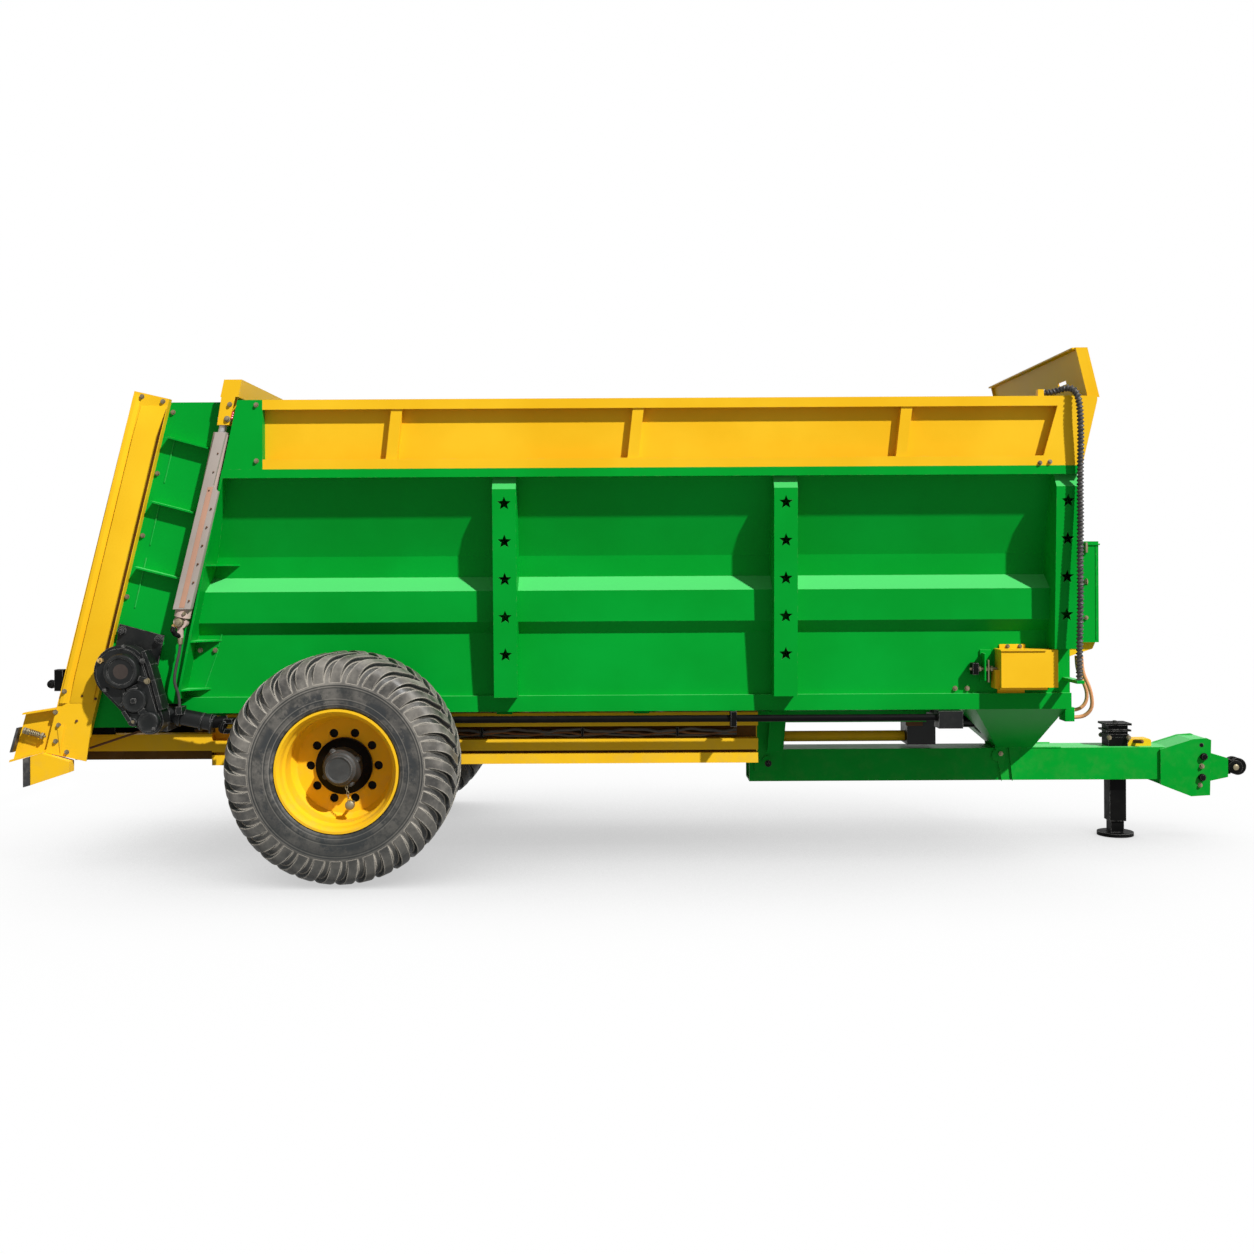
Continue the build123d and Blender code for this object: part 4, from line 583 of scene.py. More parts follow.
class Former:
    """Collects the shapes of one piece in a single mesh."""

    SHARP_ANGLE = 0.6

    def __init__(self) -> None:
        """Start an empty mesh."""
        self.mesh = bmesh.new()

    def loft(self, rings: Sequence[Sequence[Point]], loop: bool = False) -> None:
        """Skin a row of rings that have the same number of points.

        Args:
            rings: The rings, in order.
            loop: Whether the last ring joins the first; otherwise both ends are capped.
        """
        grid = [[self.mesh.verts.new(point) for point in ring] for ring in rings]
        count = len(grid[0])
        pairs = list(zip(grid, grid[1:]))
        if loop:
            pairs.append((grid[-1], grid[0]))
        for near, far in pairs:
            for spot in range(count):
                after = (spot + 1) % count
                self.mesh.faces.new((near[spot], near[after], far[after], far[spot]))
        if not loop:
            self.mesh.faces.new(list(reversed(grid[0])))
            self.mesh.faces.new(grid[-1])

    def prism(self, outline: Sequence[Point], along: Point) -> None:
        """Push a closed outline along a vector."""
        shift = Vector(along)
        self.loft([outline, [tuple(Vector(point) + shift) for point in outline]])

    def box(self, low: Point, high: Point) -> None:
        """Add a box between two corners."""
        outline = [(low[0], low[1]), (high[0], low[1]), (high[0], high[1]), (low[0], high[1])]
        self.prism([(x, y, low[2]) for x, y in outline], (0.0, 0.0, high[2] - low[2]))

    def round_ring(self, centre: Vector, line: Vector, across: Vector, radius: float, sides: int) -> list[Point]:
        """A ring of points about a line.

        Args:
            centre: Middle of the ring.
            line: Direction of the line, one unit long.
            across: Direction of the first point, one unit long.
            radius: Its radius.
            sides: Number of points.

        Returns:
            The points in order.
        """
        other = line.cross(across)
        turns = [FULL_TURN * number / sides for number in range(sides)]
        return [tuple(centre + (across * math.cos(turn) + other * math.sin(turn)) * radius) for turn in turns]

    def lathe(self, base: Point, along: Point, profile: Section, sides: int = 24) -> None:
        """Turn a profile about an axis.

        Args:
            base: Start of the axis.
            along: Direction of the axis.
            profile: (distance along, radius) pairs, from end to end.
            sides: Number of sides.
        """
        line = Vector(along).normalized()
        across = line.orthogonal().normalized()
        self.loft([
            self.round_ring(Vector(base) + line * reach, line, across, max(radius, 1e-5), sides)
            for reach, radius in profile
        ])

    def tube(self, path: Sequence[Point], radius: float, sides: int = 12) -> None:
        """Run a round tube along a path.

        Args:
            path: The points of its middle line.
            radius: Its radius.
            sides: Number of sides.
        """
        points = [Vector(point) for point in path]
        rings = []
        across: Vector | None = None
        for number, point in enumerate(points):
            before = points[max(number - 1, 0)]
            after = points[min(number + 1, len(points) - 1)]
            line = (after - before).normalized()
            across = line.orthogonal() if across is None else across - line * across.dot(line)
            across = across.normalized()
            rings.append(self.round_ring(point, line, across, radius, sides))
        self.loft(rings)

    def place(self, matrix: Matrix) -> None:
        """Move everything made so far."""
        bmesh.ops.transform(self.mesh, matrix=matrix, verts=self.mesh.verts)

    def finish(self, name: str, finish: Finish, rounding: float = 0.0) -> bpy.types.Object:
        """Hand over the piece as an object.

        Args:
            name: The piece's name.
            finish: Its finish.
            rounding: Width of the rounding on its sharp edges, or 0.

        Returns:
            The object, with its place in its mesh.
        """
        bmesh.ops.remove_doubles(self.mesh, verts=self.mesh.verts, dist=1e-6)
        bmesh.ops.recalc_face_normals(self.mesh, faces=self.mesh.faces)
        if rounding > 0.0:
            sharp = [
                edge for edge in self.mesh.edges
                if len(edge.link_faces) == 2 and edge.calc_face_angle(0.0) > self.SHARP_ANGLE
            ]
            bmesh.ops.bevel(
                self.mesh, geom=sharp, offset=rounding, segments=2, affect="EDGES", profile=0.7,
                clamp_overlap=True,
            )
        data = bpy.data.meshes.new(name)
        self.mesh.to_mesh(data)
        self.mesh.free()
        return dress(data, name, finish)


def dress(data: bpy.types.Mesh, name: str, finish: Finish) -> bpy.types.Object:
    """Make an object of a mesh, with its finish and smooth shading below an angle.

    Args:
        data: The mesh, in the row frame.
        name: The piece's name.
        finish: Its finish.

    Returns:
        The object.
    """
    data.materials.clear()
    data.materials.append(SHOP.get(finish))
    for face in data.polygons:
        face.use_smooth = True
        face.material_index = 0
    data.set_sharp_from_angle(angle=SMOOTH_BELOW)
    return stand(name, data)


def fit(piece: bpy.types.Object, body: Body, replaces: Sequence[str] = ()) -> bpy.types.Object:
    """Fix a finished piece to its body and report it.

    Args:
        piece: The piece.
        body: The body that it rides on.
        replaces: CAD nodes that it stands for.

    Returns:
        The same piece.
    """
    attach(piece, body.value)
    if replaces:
        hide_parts(*replaces)
    LOG.info("%s on %s", piece.name, body.value)
    return piece


# ---------------------------------------------------------------- geometry node trees
class Pattern(Tree):
    """A geometry node tree with named inputs for its sizes."""

    def __init__(self, name: str, inputs: Sequence[tuple[str, str]]) -> None:
        """Start a tree that takes a geometry, the named inputs and a material.

        Args:
            name: The tree's name.
            inputs: Label and socket type of each named input.
        """
        group = bpy.data.node_groups.new(name, "GeometryNodeTree")
        super().__init__(group)
        self.group = group
        group.interface.new_socket("Geometry", in_out="OUTPUT", socket_type="NodeSocketGeometry")
        group.interface.new_socket("Geometry", in_out="INPUT", socket_type="NodeSocketGeometry")
        for label, kind in (*inputs, ("Material", "NodeSocketMaterial")):
            group.interface.new_socket(label, in_out="INPUT", socket_type=kind)
        self.given = self.node("NodeGroupInput").outputs

    def value(self, name: str) -> Channel:
        """A named input as a channel."""
        return Channel(self, self.given[name])

    def end(self, geometry: bpy.types.NodeSocket) -> None:
        """Realize the instances, set the material and close the tree."""
        real = self.node("GeometryNodeRealizeInstances", inputs={0: geometry})
        painted = self.node(
            "GeometryNodeSetMaterial", inputs={0: real.outputs[0], "Material": self.given["Material"]}
        )
        self.node("NodeGroupOutput", inputs={0: painted.outputs[0]})

    def run(self, piece: bpy.types.Object, name: str, finish: Finish, **sizes: object) -> bpy.types.Object:
        """Run the tree on a piece and keep the result as a plain mesh.

        Args:
            piece: The object whose mesh goes in; it is removed.
            name: Name of the result.
            finish: Its finish.
            sizes: Values of the named inputs; an underscore stands for a space.

        Returns:
            The new object.
        """
        modifier = piece.modifiers.new(name, "NODES")
        modifier.node_group = self.group
        found = {item.name: item.identifier for item in self.group.interface.items_tree if item.in_out == "INPUT"}
        for label, value in sizes.items():
            modifier[found[label.replace("_", " ")]] = value
        modifier[found["Material"]] = SHOP.get(finish)
        data = plain_mesh(piece)
        data.name = name
        piece.modifiers.remove(modifier)
        bpy.data.objects.remove(piece)
        return dress(data, name, finish)


class TurnedCopies(Pattern):
    """Copies a mesh round an axis along Y."""

    def __init__(self) -> None:
        """Build the tree."""
        super().__init__(
            "turned_copies",
            (("Copies", "NodeSocketInt"), ("Centre", "NodeSocketVector"), ("Start Turn", "NodeSocketFloat")),
        )
        points = self.node("GeometryNodePoints", inputs={"Count": self.given["Copies"]})
        number = self.channel("GeometryNodeInputIndex")
        turn = number * FULL_TURN / self.value("Copies") + self.value("Start Turn")
        turned = self.node("ShaderNodeCombineXYZ", inputs={1: turn})
        copies = self.node(
            "GeometryNodeInstanceOnPoints",
            inputs={"Points": points.outputs[0], "Instance": self.given["Geometry"], "Rotation": turned.outputs[0]},
        )
        moved = self.node("GeometryNodeTransform", inputs={0: copies.outputs[0], "Translation": self.given["Centre"]})
        self.end(moved.outputs[0])


class BoltField(Pattern):
    """Sets a hex bolt with its washer on every point, facing along the point's normal.

    Sizes are shares of the width across the bolt's flats.
    """

    HEAD_RADIUS = 0.577
    WASHER_RADIUS, WASHER_HEIGHT = 0.74, 0.12
    STUD_RADIUS, STUD_HEIGHT = 0.28, 0.25
    SIXTH_OF_TURN = 1.047

    def __init__(self) -> None:
        """Build the tree."""
        super().__init__("bolt_field", (("Head Height", "NodeSocketFloat"), ("Seed", "NodeSocketInt")))
        head_height = self.value("Head Height")
        head = self._disc(6, self.HEAD_RADIUS, head_height, self.WASHER_HEIGHT)
        washer = self._disc(16, self.WASHER_RADIUS, self.WASHER_HEIGHT, 0.0)
        stud = self._disc(10, self.STUD_RADIUS, self.STUD_HEIGHT, head_height + self.WASHER_HEIGHT)
        joined = self.node("GeometryNodeJoinGeometry")
        for part in (head, washer, stud):
            self.nodes.links.new(part, joined.inputs[0])
        facing = self.node("GeometryNodeInputNamedAttribute", {"data_type": "FLOAT_VECTOR"}, {0: "facing"})
        across = self.node("GeometryNodeInputNamedAttribute", {"data_type": "FLOAT"}, {0: "across"})
        aligned = self.node("FunctionNodeAlignRotationToVector", {"axis": "Z"}, {"Vector": facing.outputs[0]})
        chance = self.node(
            "FunctionNodeRandomValue",
            {"data_type": "FLOAT"},
            {2: 0.0, 3: self.SIXTH_OF_TURN, "Seed": self.given["Seed"]},
        )
        spin = self.node("ShaderNodeCombineXYZ", inputs={2: chance.outputs[1]})
        turned = self.node(
            "FunctionNodeRotateRotation",
            {"rotation_space": "LOCAL"},
            {0: aligned.outputs[0], 1: spin.outputs[0]},
        )
        bolts = self.node(
            "GeometryNodeInstanceOnPoints",
            inputs={
                "Points": self.given["Geometry"],
                "Instance": joined.outputs[0],
                "Rotation": turned.outputs[0],
                "Scale": across.outputs[0],
            },
        )
        self.end(bolts.outputs[0])

    def _disc(self, sides: int, radius: float, height: Value, base: Value) -> bpy.types.NodeSocket:
        """A short upright cylinder, for a bolt one unit across.

        Args:
            sides: Number of sides.
            radius: Its radius.
            height: Its height.
            base: Height at which it starts.

        Returns:
            The socket of its geometry.
        """
        made = self.node("GeometryNodeMeshCylinder", inputs={"Vertices": sides, "Radius": radius, "Depth": height})
        middle = self.math("MULTIPLY_ADD", height, 0.5, base)
        lift = self.node("ShaderNodeCombineXYZ", inputs={2: middle})
        raised = self.node("GeometryNodeTransform", inputs={0: made.outputs[0], "Translation": lift.outputs[0]})
        return raised.outputs[0]


class SpiralWrap(Pattern):
    """Winds a flat band round a path."""

    STEPS_A_TURN = 12.0

    def __init__(self) -> None:
        """Build the tree."""
        super().__init__(
            "spiral_wrap",
            (("Reach", "NodeSocketFloat"), ("Turn Length", "NodeSocketFloat"), ("Band", "NodeSocketFloat")),
        )
        line = self.node("GeometryNodeMeshToCurve", inputs={0: self.given["Geometry"]})
        step = self.value("Turn Length") / self.STEPS_A_TURN
        fine = self.node("GeometryNodeResampleCurve", {"mode": "LENGTH"}, {0: line.outputs[0], "Length": step})
        number = self.channel("GeometryNodeInputIndex")
        turn = number * (FULL_TURN / self.STEPS_A_TURN)
        normal = self.node("GeometryNodeInputNormal").outputs[0]
        tangent = self.node("GeometryNodeInputTangent").outputs[0]
        swung = self.node(
            "ShaderNodeVectorRotate",
            {"rotation_type": "AXIS_ANGLE"},
            {"Vector": normal, "Axis": tangent, "Angle": turn},
        )
        offset = self.node(
            "ShaderNodeVectorMath",
            {"operation": "SCALE"},
            {0: swung.outputs[0], "Scale": self.given["Reach"]},
        )
        wound = self.node("GeometryNodeSetPosition", inputs={0: fine.outputs[0], "Offset": offset.outputs[0]})
        ring = self.node("GeometryNodeCurvePrimitiveCircle", inputs={"Resolution": 6, "Radius": self.given["Band"]})
        band = self.node(
            "GeometryNodeCurveToMesh",
            inputs={0: wound.outputs[0], "Profile Curve": ring.outputs[0], "Fill Caps": True},
        )
        self.end(band.outputs[0])


@dataclass
class Bolts:
    """A set of bolts on one body, gathered before they are made."""

    name: str
    body: Body
    slot: Slot
    finish: Finish
    spots: list[tuple[Point, Point, float]] = field(default_factory=list)
    head_height: float = 0.62

    def add(self, spot: Point, facing: Point, across: float) -> None:
        """Add one bolt.

        Args:
            spot: Place of its washer's underside.
            facing: Direction that its head faces.
            across: Width across its flats.
        """
        self.spots.append((spot, facing, across))

    def make(self, bolt_tree: BoltField, seed: int) -> bpy.types.Object:
        """Build the bolts and fix them to their body.

        Args:
            bolt_tree: The tree that sets bolts.
            seed: Seed of their turns.

        Returns:
            The finished piece.
        """
        data = bpy.data.meshes.new(self.name + "_points")
        data.from_pydata([spot for spot, _, _ in self.spots], [], [])
        data.attributes.new("facing", "FLOAT_VECTOR", "POINT")
        data.attributes.new("across", "FLOAT", "POINT")
        for number, (_, way, width) in enumerate(self.spots):
            data.attributes["facing"].data[number].vector = way
            data.attributes["across"].data[number].value = width
        holder = stand(self.name + "_points", data)
        made = bolt_tree.run(holder, self.name, self.finish, Head_Height=self.head_height, Seed=seed)
        return fit(made, self.body)


# ---------------------------------------------------------------- tyres
@dataclass
class Tyre:
    """A flotation tyre with curved lugs, in place of the plain CAD ring."""

    side: str
    body: Body
    centre: Point
    radius: float = TYRE_RADIUS
    half_width: float = 0.238
    bead: float = 0.301
    lugs: int = 34
    lug_height: float = 0.024
    lug_root: float = -0.004
    lug_crest: float = 0.78
    lug_span: tuple[float, float] = (0.405, 0.985)
    lug_sweep: float = -0.26
    lug_width: float = 0.062
    lug_hook: float = 1.6
    ridges: Section = ((0.335, 0.0025), (0.425, 0.0030), (0.444, 0.0030))

    def curve(self, share: float) -> tuple[float, float]:
        """The carcass's section from bead to crown.

        Args:
            share: 0 at the bead, 1 at the middle of the tread.

        Returns:
            Radius and distance from the tyre's middle.
        """
        controls = (
            (self.bead, self.half_width - 0.024),
            (self.bead + 0.012, self.half_width - 0.008),
            (0.370, self.half_width),
            (0.440, self.half_width - 0.003),
            (0.495, self.half_width - 0.020),
            (0.526, self.half_width - 0.055),
            (0.537, self.half_width - 0.110),
            (0.541, 0.0),
        )
        reach = share * (len(controls) - 1)
        number = min(int(reach), len(controls) - 2)
        local = reach - number
        around = [controls[min(max(number + step, 0), len(controls) - 1)] for step in (-1, 0, 1, 2)]
        weights = (
            -0.5 * local + local**2 - 0.5 * local**3,
            1 - 2.5 * local**2 + 1.5 * local**3,
            0.5 * local + 2 * local**2 - 1.5 * local**3,
            -0.5 * local**2 + 0.5 * local**3,
        )
        radius = sum(weight * control[0] for weight, control in zip(weights, around))
        out = sum(weight * control[1] for weight, control in zip(weights, around))
        return radius, out

    def ring(self, radius: float, out: float, sides: int = 96) -> list[Point]:
        """A ring of points about the axle.

        Args:
            radius: Its radius.
            out: Its distance from the tyre's middle.
            sides: Number of points.

        Returns:
            The points in order.
        """
        x, y, z = self.centre
        turns = [FULL_TURN * number / sides for number in range(sides)]
        return [(x + radius * math.cos(turn), y + out, z + radius * math.sin(turn)) for turn in turns]

    def carcass(self) -> Former:
        """The tyre's body with its moulded rings."""
        former = Former()
        rings = []
        steps = 40
        for number in range(steps + 1):
            radius, out = self.curve(number / steps)
            for ridge, lift in self.ridges:
                if abs(radius - ridge) < 0.004 and number < steps * 0.6:
                    out += lift
            rings.append((radius, out))
        section = [(radius, -out) for radius, out in rings] + list(reversed(rings[:-1]))
        section.append((self.bead - 0.013, self.half_width - 0.030))
        section.append((self.bead - 0.013, -self.half_width + 0.030))
        former.loft([self.ring(radius, out) for radius, out in section], loop=True)
        return former

    def lug(self) -> Former:
        """One lug that runs from the side wall over the shoulder, about an axle at the origin.

        Returns:
            The lug's mesh, on the left flank.
        """
        former = Former()
        start, end = self.lug_span
        steps = 16
        rings = []
        for number in range(steps + 1):
            share = number / steps
            place = start + (end - start) * share
            radius, out = self.curve(place)
            next_radius, next_out = self.curve(min(place + 0.01, 1.0))
            along = Vector((next_radius - radius, next_out - out, 0.0))
            normal = Vector((-along.y, along.x)).normalized() if along.length > 1e-9 else Vector((1.0, 0.0))
            if normal.x < 0:
                normal = -normal
            turn = self.lug_sweep * share**self.lug_hook
            rise = self.lug_height * min(1.0, 0.25 + 3.0 * share)
            rise *= 1.0 if share < 0.94 else 0.85
            ring = []
            for side, height in (
                (-1.0, self.lug_root), (-self.lug_crest, rise), (self.lug_crest, rise), (1.0, self.lug_root)
            ):
                swing = turn + side * (0.5 * self.lug_width) / max(radius, 0.1)
                reach = min(radius + normal.x * height, self.radius)
                y = min(out + normal.y * height, self.half_width)
                ring.append((reach * math.cos(swing), y, reach * math.sin(swing)))
            rings.append(ring)
        former.loft(rings)
        return former

    def build(self, copies: TurnedCopies) -> None:
        """Make the carcass and both rows of lugs as one piece.

        Args:
            copies: The tree that copies a lug round the axle.
        """
        parts = [self.carcass().finish(f"carcass_{self.side}", TYRE_RUBBER)]
        pitch = FULL_TURN / self.lugs
        for flank, shift in ((1, 0.0), (-1, 0.5 * pitch)):
            lug = self.lug()
            if flank < 0:
                lug.place(Matrix.Scale(-1.0, 4, (0.0, 1.0, 0.0)))
            seed = lug.finish("lug", TYRE_RUBBER)
            name = f"lugs_{self.side}_{flank}"
            parts.append(
                copies.run(seed, name, TYRE_RUBBER, Copies=self.lugs, Centre=self.centre, Start_Turn=shift)
            )
        fit(join(parts, f"tyre_{self.side}"), self.body, [f"wheel_{self.side}_tyre"])


def join(parts: Sequence[bpy.types.Object], name: str) -> bpy.types.Object:
    """Join finished objects into one.

    Args:
        parts: The objects, which are used up.
        name: Name of the result.

    Returns:
        The joined object.
    """
    bpy.ops.object.select_all(action="DESELECT")
    for part in parts:
        part.select_set(True)
    bpy.context.view_layer.objects.active = parts[0]
    bpy.ops.object.join()
    parts[0].name = name
    parts[0].data.name = name
    return parts[0]


# ---------------------------------------------------------------- cords
@dataclass(frozen=True)
class Hose:
    """A hydraulic hose along the route of its CAD solid."""

    name: str
    radius: float
    length: float
    finish: Finish
    slot: Slot
    route: tuple[Point, ...]
    stiffness: str = "medium"
    lay: str = "hanging"

    def line(self) -> bpy.types.Curve:
        """The hose's smooth line."""
        data = bpy.data.curves.new(self.name, "CURVE")
        data.dimensions = "3D"
        data.resolution_u = 12
        spline = data.splines.new("NURBS")
        spline.points.add(len(self.route) - 1)
        for point, place in zip(spline.points, self.route):
            point.co = (*place, 1.0)
        spline.order_u = 3
        spline.use_endpoint_u = True
        return data

    def path(self) -> bpy.types.Object:
        """The line as a mesh of points joined by edges."""
        holder = stand(self.name + "_line", self.line())
        data = plain_mesh(holder)
        bpy.data.objects.remove(holder)
        return stand(self.name + "_path", data)

    def build(self, with_pieces: Sequence[bpy.types.Object] = ()) -> bpy.types.Object:
        """Args:
            with_pieces: Pieces meant to go wherever the hose goes; not used.

        Returns:
            The hose.
        """
        data = self.line()
        data.bevel_depth = self.radius
        data.bevel_resolution = 3
        data.use_fill_caps = True
        data.materials.append(SHOP.get(self.finish))
        piece = stand(self.name + "_line", data)
        fit(piece, Body.ROOT, [self.name])
        return piece


BUNDLE = Hose(
    "hose_bundle", 0.0125, 1.641, WORN_HOSE, Slot.HOSE_BLACK,
    (
        (1.944, -0.830, 2.413), (1.990, -0.830, 2.413), (2.036, -0.840, 2.432), (2.076, -0.870, 2.438),
        (2.100, -0.902, 2.398), (2.108, -0.911, 2.310), (2.112, -0.904, 2.160), (2.110, -0.894, 1.960),
        (2.112, -0.893, 1.770), (2.109, -0.892, 1.590), (2.111, -0.890, 1.400), (2.108, -0.888, 1.220),
        (2.105, -0.885, 1.070), (2.105, -0.885, 0.955),
    ),
)
LOOP_OUTER = Hose(
    "hose_loop_outer", 0.010, 0.400, TAN_HOSE, Slot.HOSE_TAN,
    (
        (2.200, -0.635, 1.060), (2.200, -0.635, 0.985), (2.240, -0.638, 0.900), (2.255, -0.634, 0.835),
        (2.255, -0.628, 0.789), (2.236, -0.618, 0.757), (2.204, -0.606, 0.738), (2.160, -0.606, 0.738),
    ),
)
LOOP_INNER = Hose(
    "hose_loop_inner", 0.010, 0.356, TAN_HOSE, Slot.HOSE_TAN,
    (
        (2.190, -0.585, 1.060), (2.190, -0.585, 0.990), (2.226, -0.580, 0.925), (2.247, -0.576, 0.872),
        (2.247, -0.574, 0.825), (2.228, -0.572, 0.791), (2.194, -0.570, 0.772), (2.160, -0.570, 0.772),
    ),
)
LIFT_HOSE = Hose(
    "cylinder_hose", 0.008, 0.360, BLACK_HOSE, Slot.HOSE_BLACK,
    (
        (-2.4449, -0.845, 1.191), (-2.4449, -0.845, 1.136), (-2.4649, -0.848, 1.056),
        (-2.4809, -0.844, 0.966), (-2.460, -0.816, 0.896), (-2.460, -0.816, 0.840),
    ),
)


# ---------------------------------------------------------------- small pieces on each sub-assembly
SLOT_MEMBERS: dict[Slot, tuple[Finish, ...]] = {
    Slot.GREEN: (GREEN, WELD),
    Slot.YELLOW: (YELLOW, GROOVE_SHADOW),
    Slot.CHARCOAL: (CHARCOAL, CAP_DISC),
    Slot.BLACK: (BLACK, SHADE_BROWN, HUB_CAST),
    Slot.STEEL: (ZINC, BRASS, RUST),
    Slot.PRIMER: (GREY_PAINT, GUARD_STRIPE),
    Slot.HOSE_BLACK: (BLACK_HOSE,),
    Slot.LAMP: (RED_LENS, AMBER_LENS),
}
SLOT_OF = {finish: slot for slot, finishes in SLOT_MEMBERS.items() for finish in finishes}
NEAR = -1.0
SIDES = (NEAR, 1.0)
FRAME_FACE = 0.810
PANEL_FACE = 0.770
WALL_FACE = 0.680
BOARD_FACE = 0.860
FRAME_CORNER = (-2.505, 2.409)
LEAN = 0.2456
FORWARDS = (1.0, 0.0, 0.0)
UPWARDS = (0.0, 0.0, 1.0)


def along_frame(behind: float, height: float) -> float:
    """Place along X of a point some way behind the rear frame's leaning front edge."""
    return FRAME_CORNER[0] + (height - FRAME_CORNER[1]) * LEAN - behind


def frame_ring(height: float, section: Section) -> list[Point]:
    """Level ring of (behind, out) corners at a height of the rear frame."""
    return [(along_frame(behind, height), out, height) for behind, out in section]


def mirrored(point: Point, sign: float) -> Point:
    """A point of the left side, on the side that the sign names."""
    return (point[0], sign * point[1], point[2])


@dataclass(frozen=True)
class Part:
    """A shape given for the left side, where Y is the distance from the machine's middle.

    One that is near stands on the right side alone.
    """

    finish: Finish
    near: bool = field(default=False, kw_only=True)

    def add(self, owner: "SubAssembly", sign: float) -> None:
        """Add the shape to its sub-assembly, on one side."""
        raise NotImplementedError


@dataclass(frozen=True)
class Bar(Part):
    """A round bar along a path."""

    path: Sequence[Point]
    radius: float
    sides: int = 8

    def add(self, owner: "SubAssembly", sign: float) -> None:
        """Add the bar on one side."""
        path = [mirrored(point, sign) for point in self.path]
        owner.shape(self.finish).tube(path, self.radius, self.sides)


@dataclass(frozen=True)
class Turning(Part):
    """A round part, as a (distance along, radius) profile about its axis."""

    place: Point
    profile: Section
    sides: int = 24
    facing: Point = (0.0, 1.0, 0.0)

    def add(self, owner: "SubAssembly", sign: float) -> None:
        """Add the round part on one side."""
        place, facing = mirrored(self.place, sign), mirrored(self.facing, sign)
        owner.shape(self.finish).lathe(place, facing, self.profile, self.sides)


@dataclass(frozen=True)
class Block(Part):
    """A box between two corners."""

    low: Point
    high: Point

    def add(self, owner: "SubAssembly", sign: float) -> None:
        """Add the box on one side."""
        start, end = sorted((sign * self.low[1], sign * self.high[1]))
        owner.shape(self.finish).box((self.low[0], start, self.low[2]), (self.high[0], end, self.high[2]))


@dataclass(frozen=True)
class Skin(Part):
    """A shape skinned over rings of as many corners."""

    rings: Sequence[Sequence[Point]]

    def add(self, owner: "SubAssembly", sign: float) -> None:
        """Add the shape on one side."""
        owner.shape(self.finish).loft([[mirrored(point, sign) for point in ring] for ring in self.rings])


@dataclass(frozen=True)
class BoltRow(Part):
    """Bolts at (x, height) places on one upright face."""

    out: float
    places: Section
    across: float = 0.017

    def add(self, owner: "SubAssembly", sign: float) -> None:
        """Add the bolts on one side."""
        for x, z in self.places:
            owner.bolt((x, sign * self.out, z), (0.0, sign, 0.0), self.across, self.finish)


@dataclass
class SubAssembly:
    """Small pieces on one body, gathered by finish until they are made."""

    name: str
    body: Body = Body.ROOT
    parts: Sequence[Part] = ()
    sides: Sequence[float] = SIDES
    rounding: float = 0.0015
    stands_for: dict[Finish, tuple[str, ...]] = field(default_factory=dict)
    formers: dict[Finish, Former] = field(default_factory=dict)
    bolts: dict[Finish, Bolts] = field(default_factory=dict)

    def shape(self, finish: Finish) -> Former:
        """The mesh that gathers this sub-assembly's shapes of one finish."""
        if finish not in self.formers:
            self.formers[finish] = Former()
        return self.formers[finish]

    def bolt(self, spot: Point, facing: Point, across: float, finish: Finish) -> None:
        """Add one bolt with its washer.

        Args:
            spot: Place of its washer's underside.
            facing: Direction that its head faces.
            across: Width across its flats.
            finish: Its finish.
        """
        if finish not in self.bolts:
            name = f"{self.name}_bolts_{finish.name}"
            self.bolts[finish] = Bolts(name, self.body, SLOT_OF[finish], finish)
        self.bolts[finish].add(spot, facing, across)

    def build(self) -> None:
        """Gather the listed parts on their sides."""
        for sign in self.sides:
            for part in self.parts:
                if sign == NEAR or not part.near:
                    part.add(self, sign)

    def make(self, bolt_tree: BoltField, seed: int) -> None:
        """Build everything and fix it to the body.

        Args:
            bolt_tree: The tree that sets bolts.
            seed: Seed of the bolts' turns.
        """
        self.build()
        for finish, former in self.formers.items():
            piece = former.finish(f"{self.name}_{finish.name}", finish, self.rounding)
            fit(piece, self.body, self.stands_for.get(finish, ()))
        for bolts in self.bolts.values():
            bolts.make(bolt_tree, seed)


FOLD_SECTION = (
    (0.188, FRAME_FACE - 0.002), (0.185, FRAME_FACE + 0.013), (0.166, FRAME_FACE + 0.013), (0.146, FRAME_FACE - 0.002)
)


def facing_ring(height: float, thick: float, front: float) -> list[Point]:
    """Ring of the rear frame's raised facing.

    Args:
        height: Its height.
        thick: How far the facing stands out.
        front: How far it stops short of the frame's front edge.

    Returns:
        The ring's corners in order.
    """
    foot = FRAME_FACE - 0.002
    section = ((0.140, foot), (0.136, foot + thick), (front, foot + thick), (front, foot))
    return frame_ring(height, section)


def groove_ring(height: float, width: float) -> list[Point]:
    """Ring of the painted shadow between the facing and the frame's front edge."""
    foot, top, front = FRAME_FACE - 0.002, FRAME_FACE + 0.0015, 0.004
    return frame_ring(height, ((front + width, foot), (front + width, top), (front, top), (front, foot)))


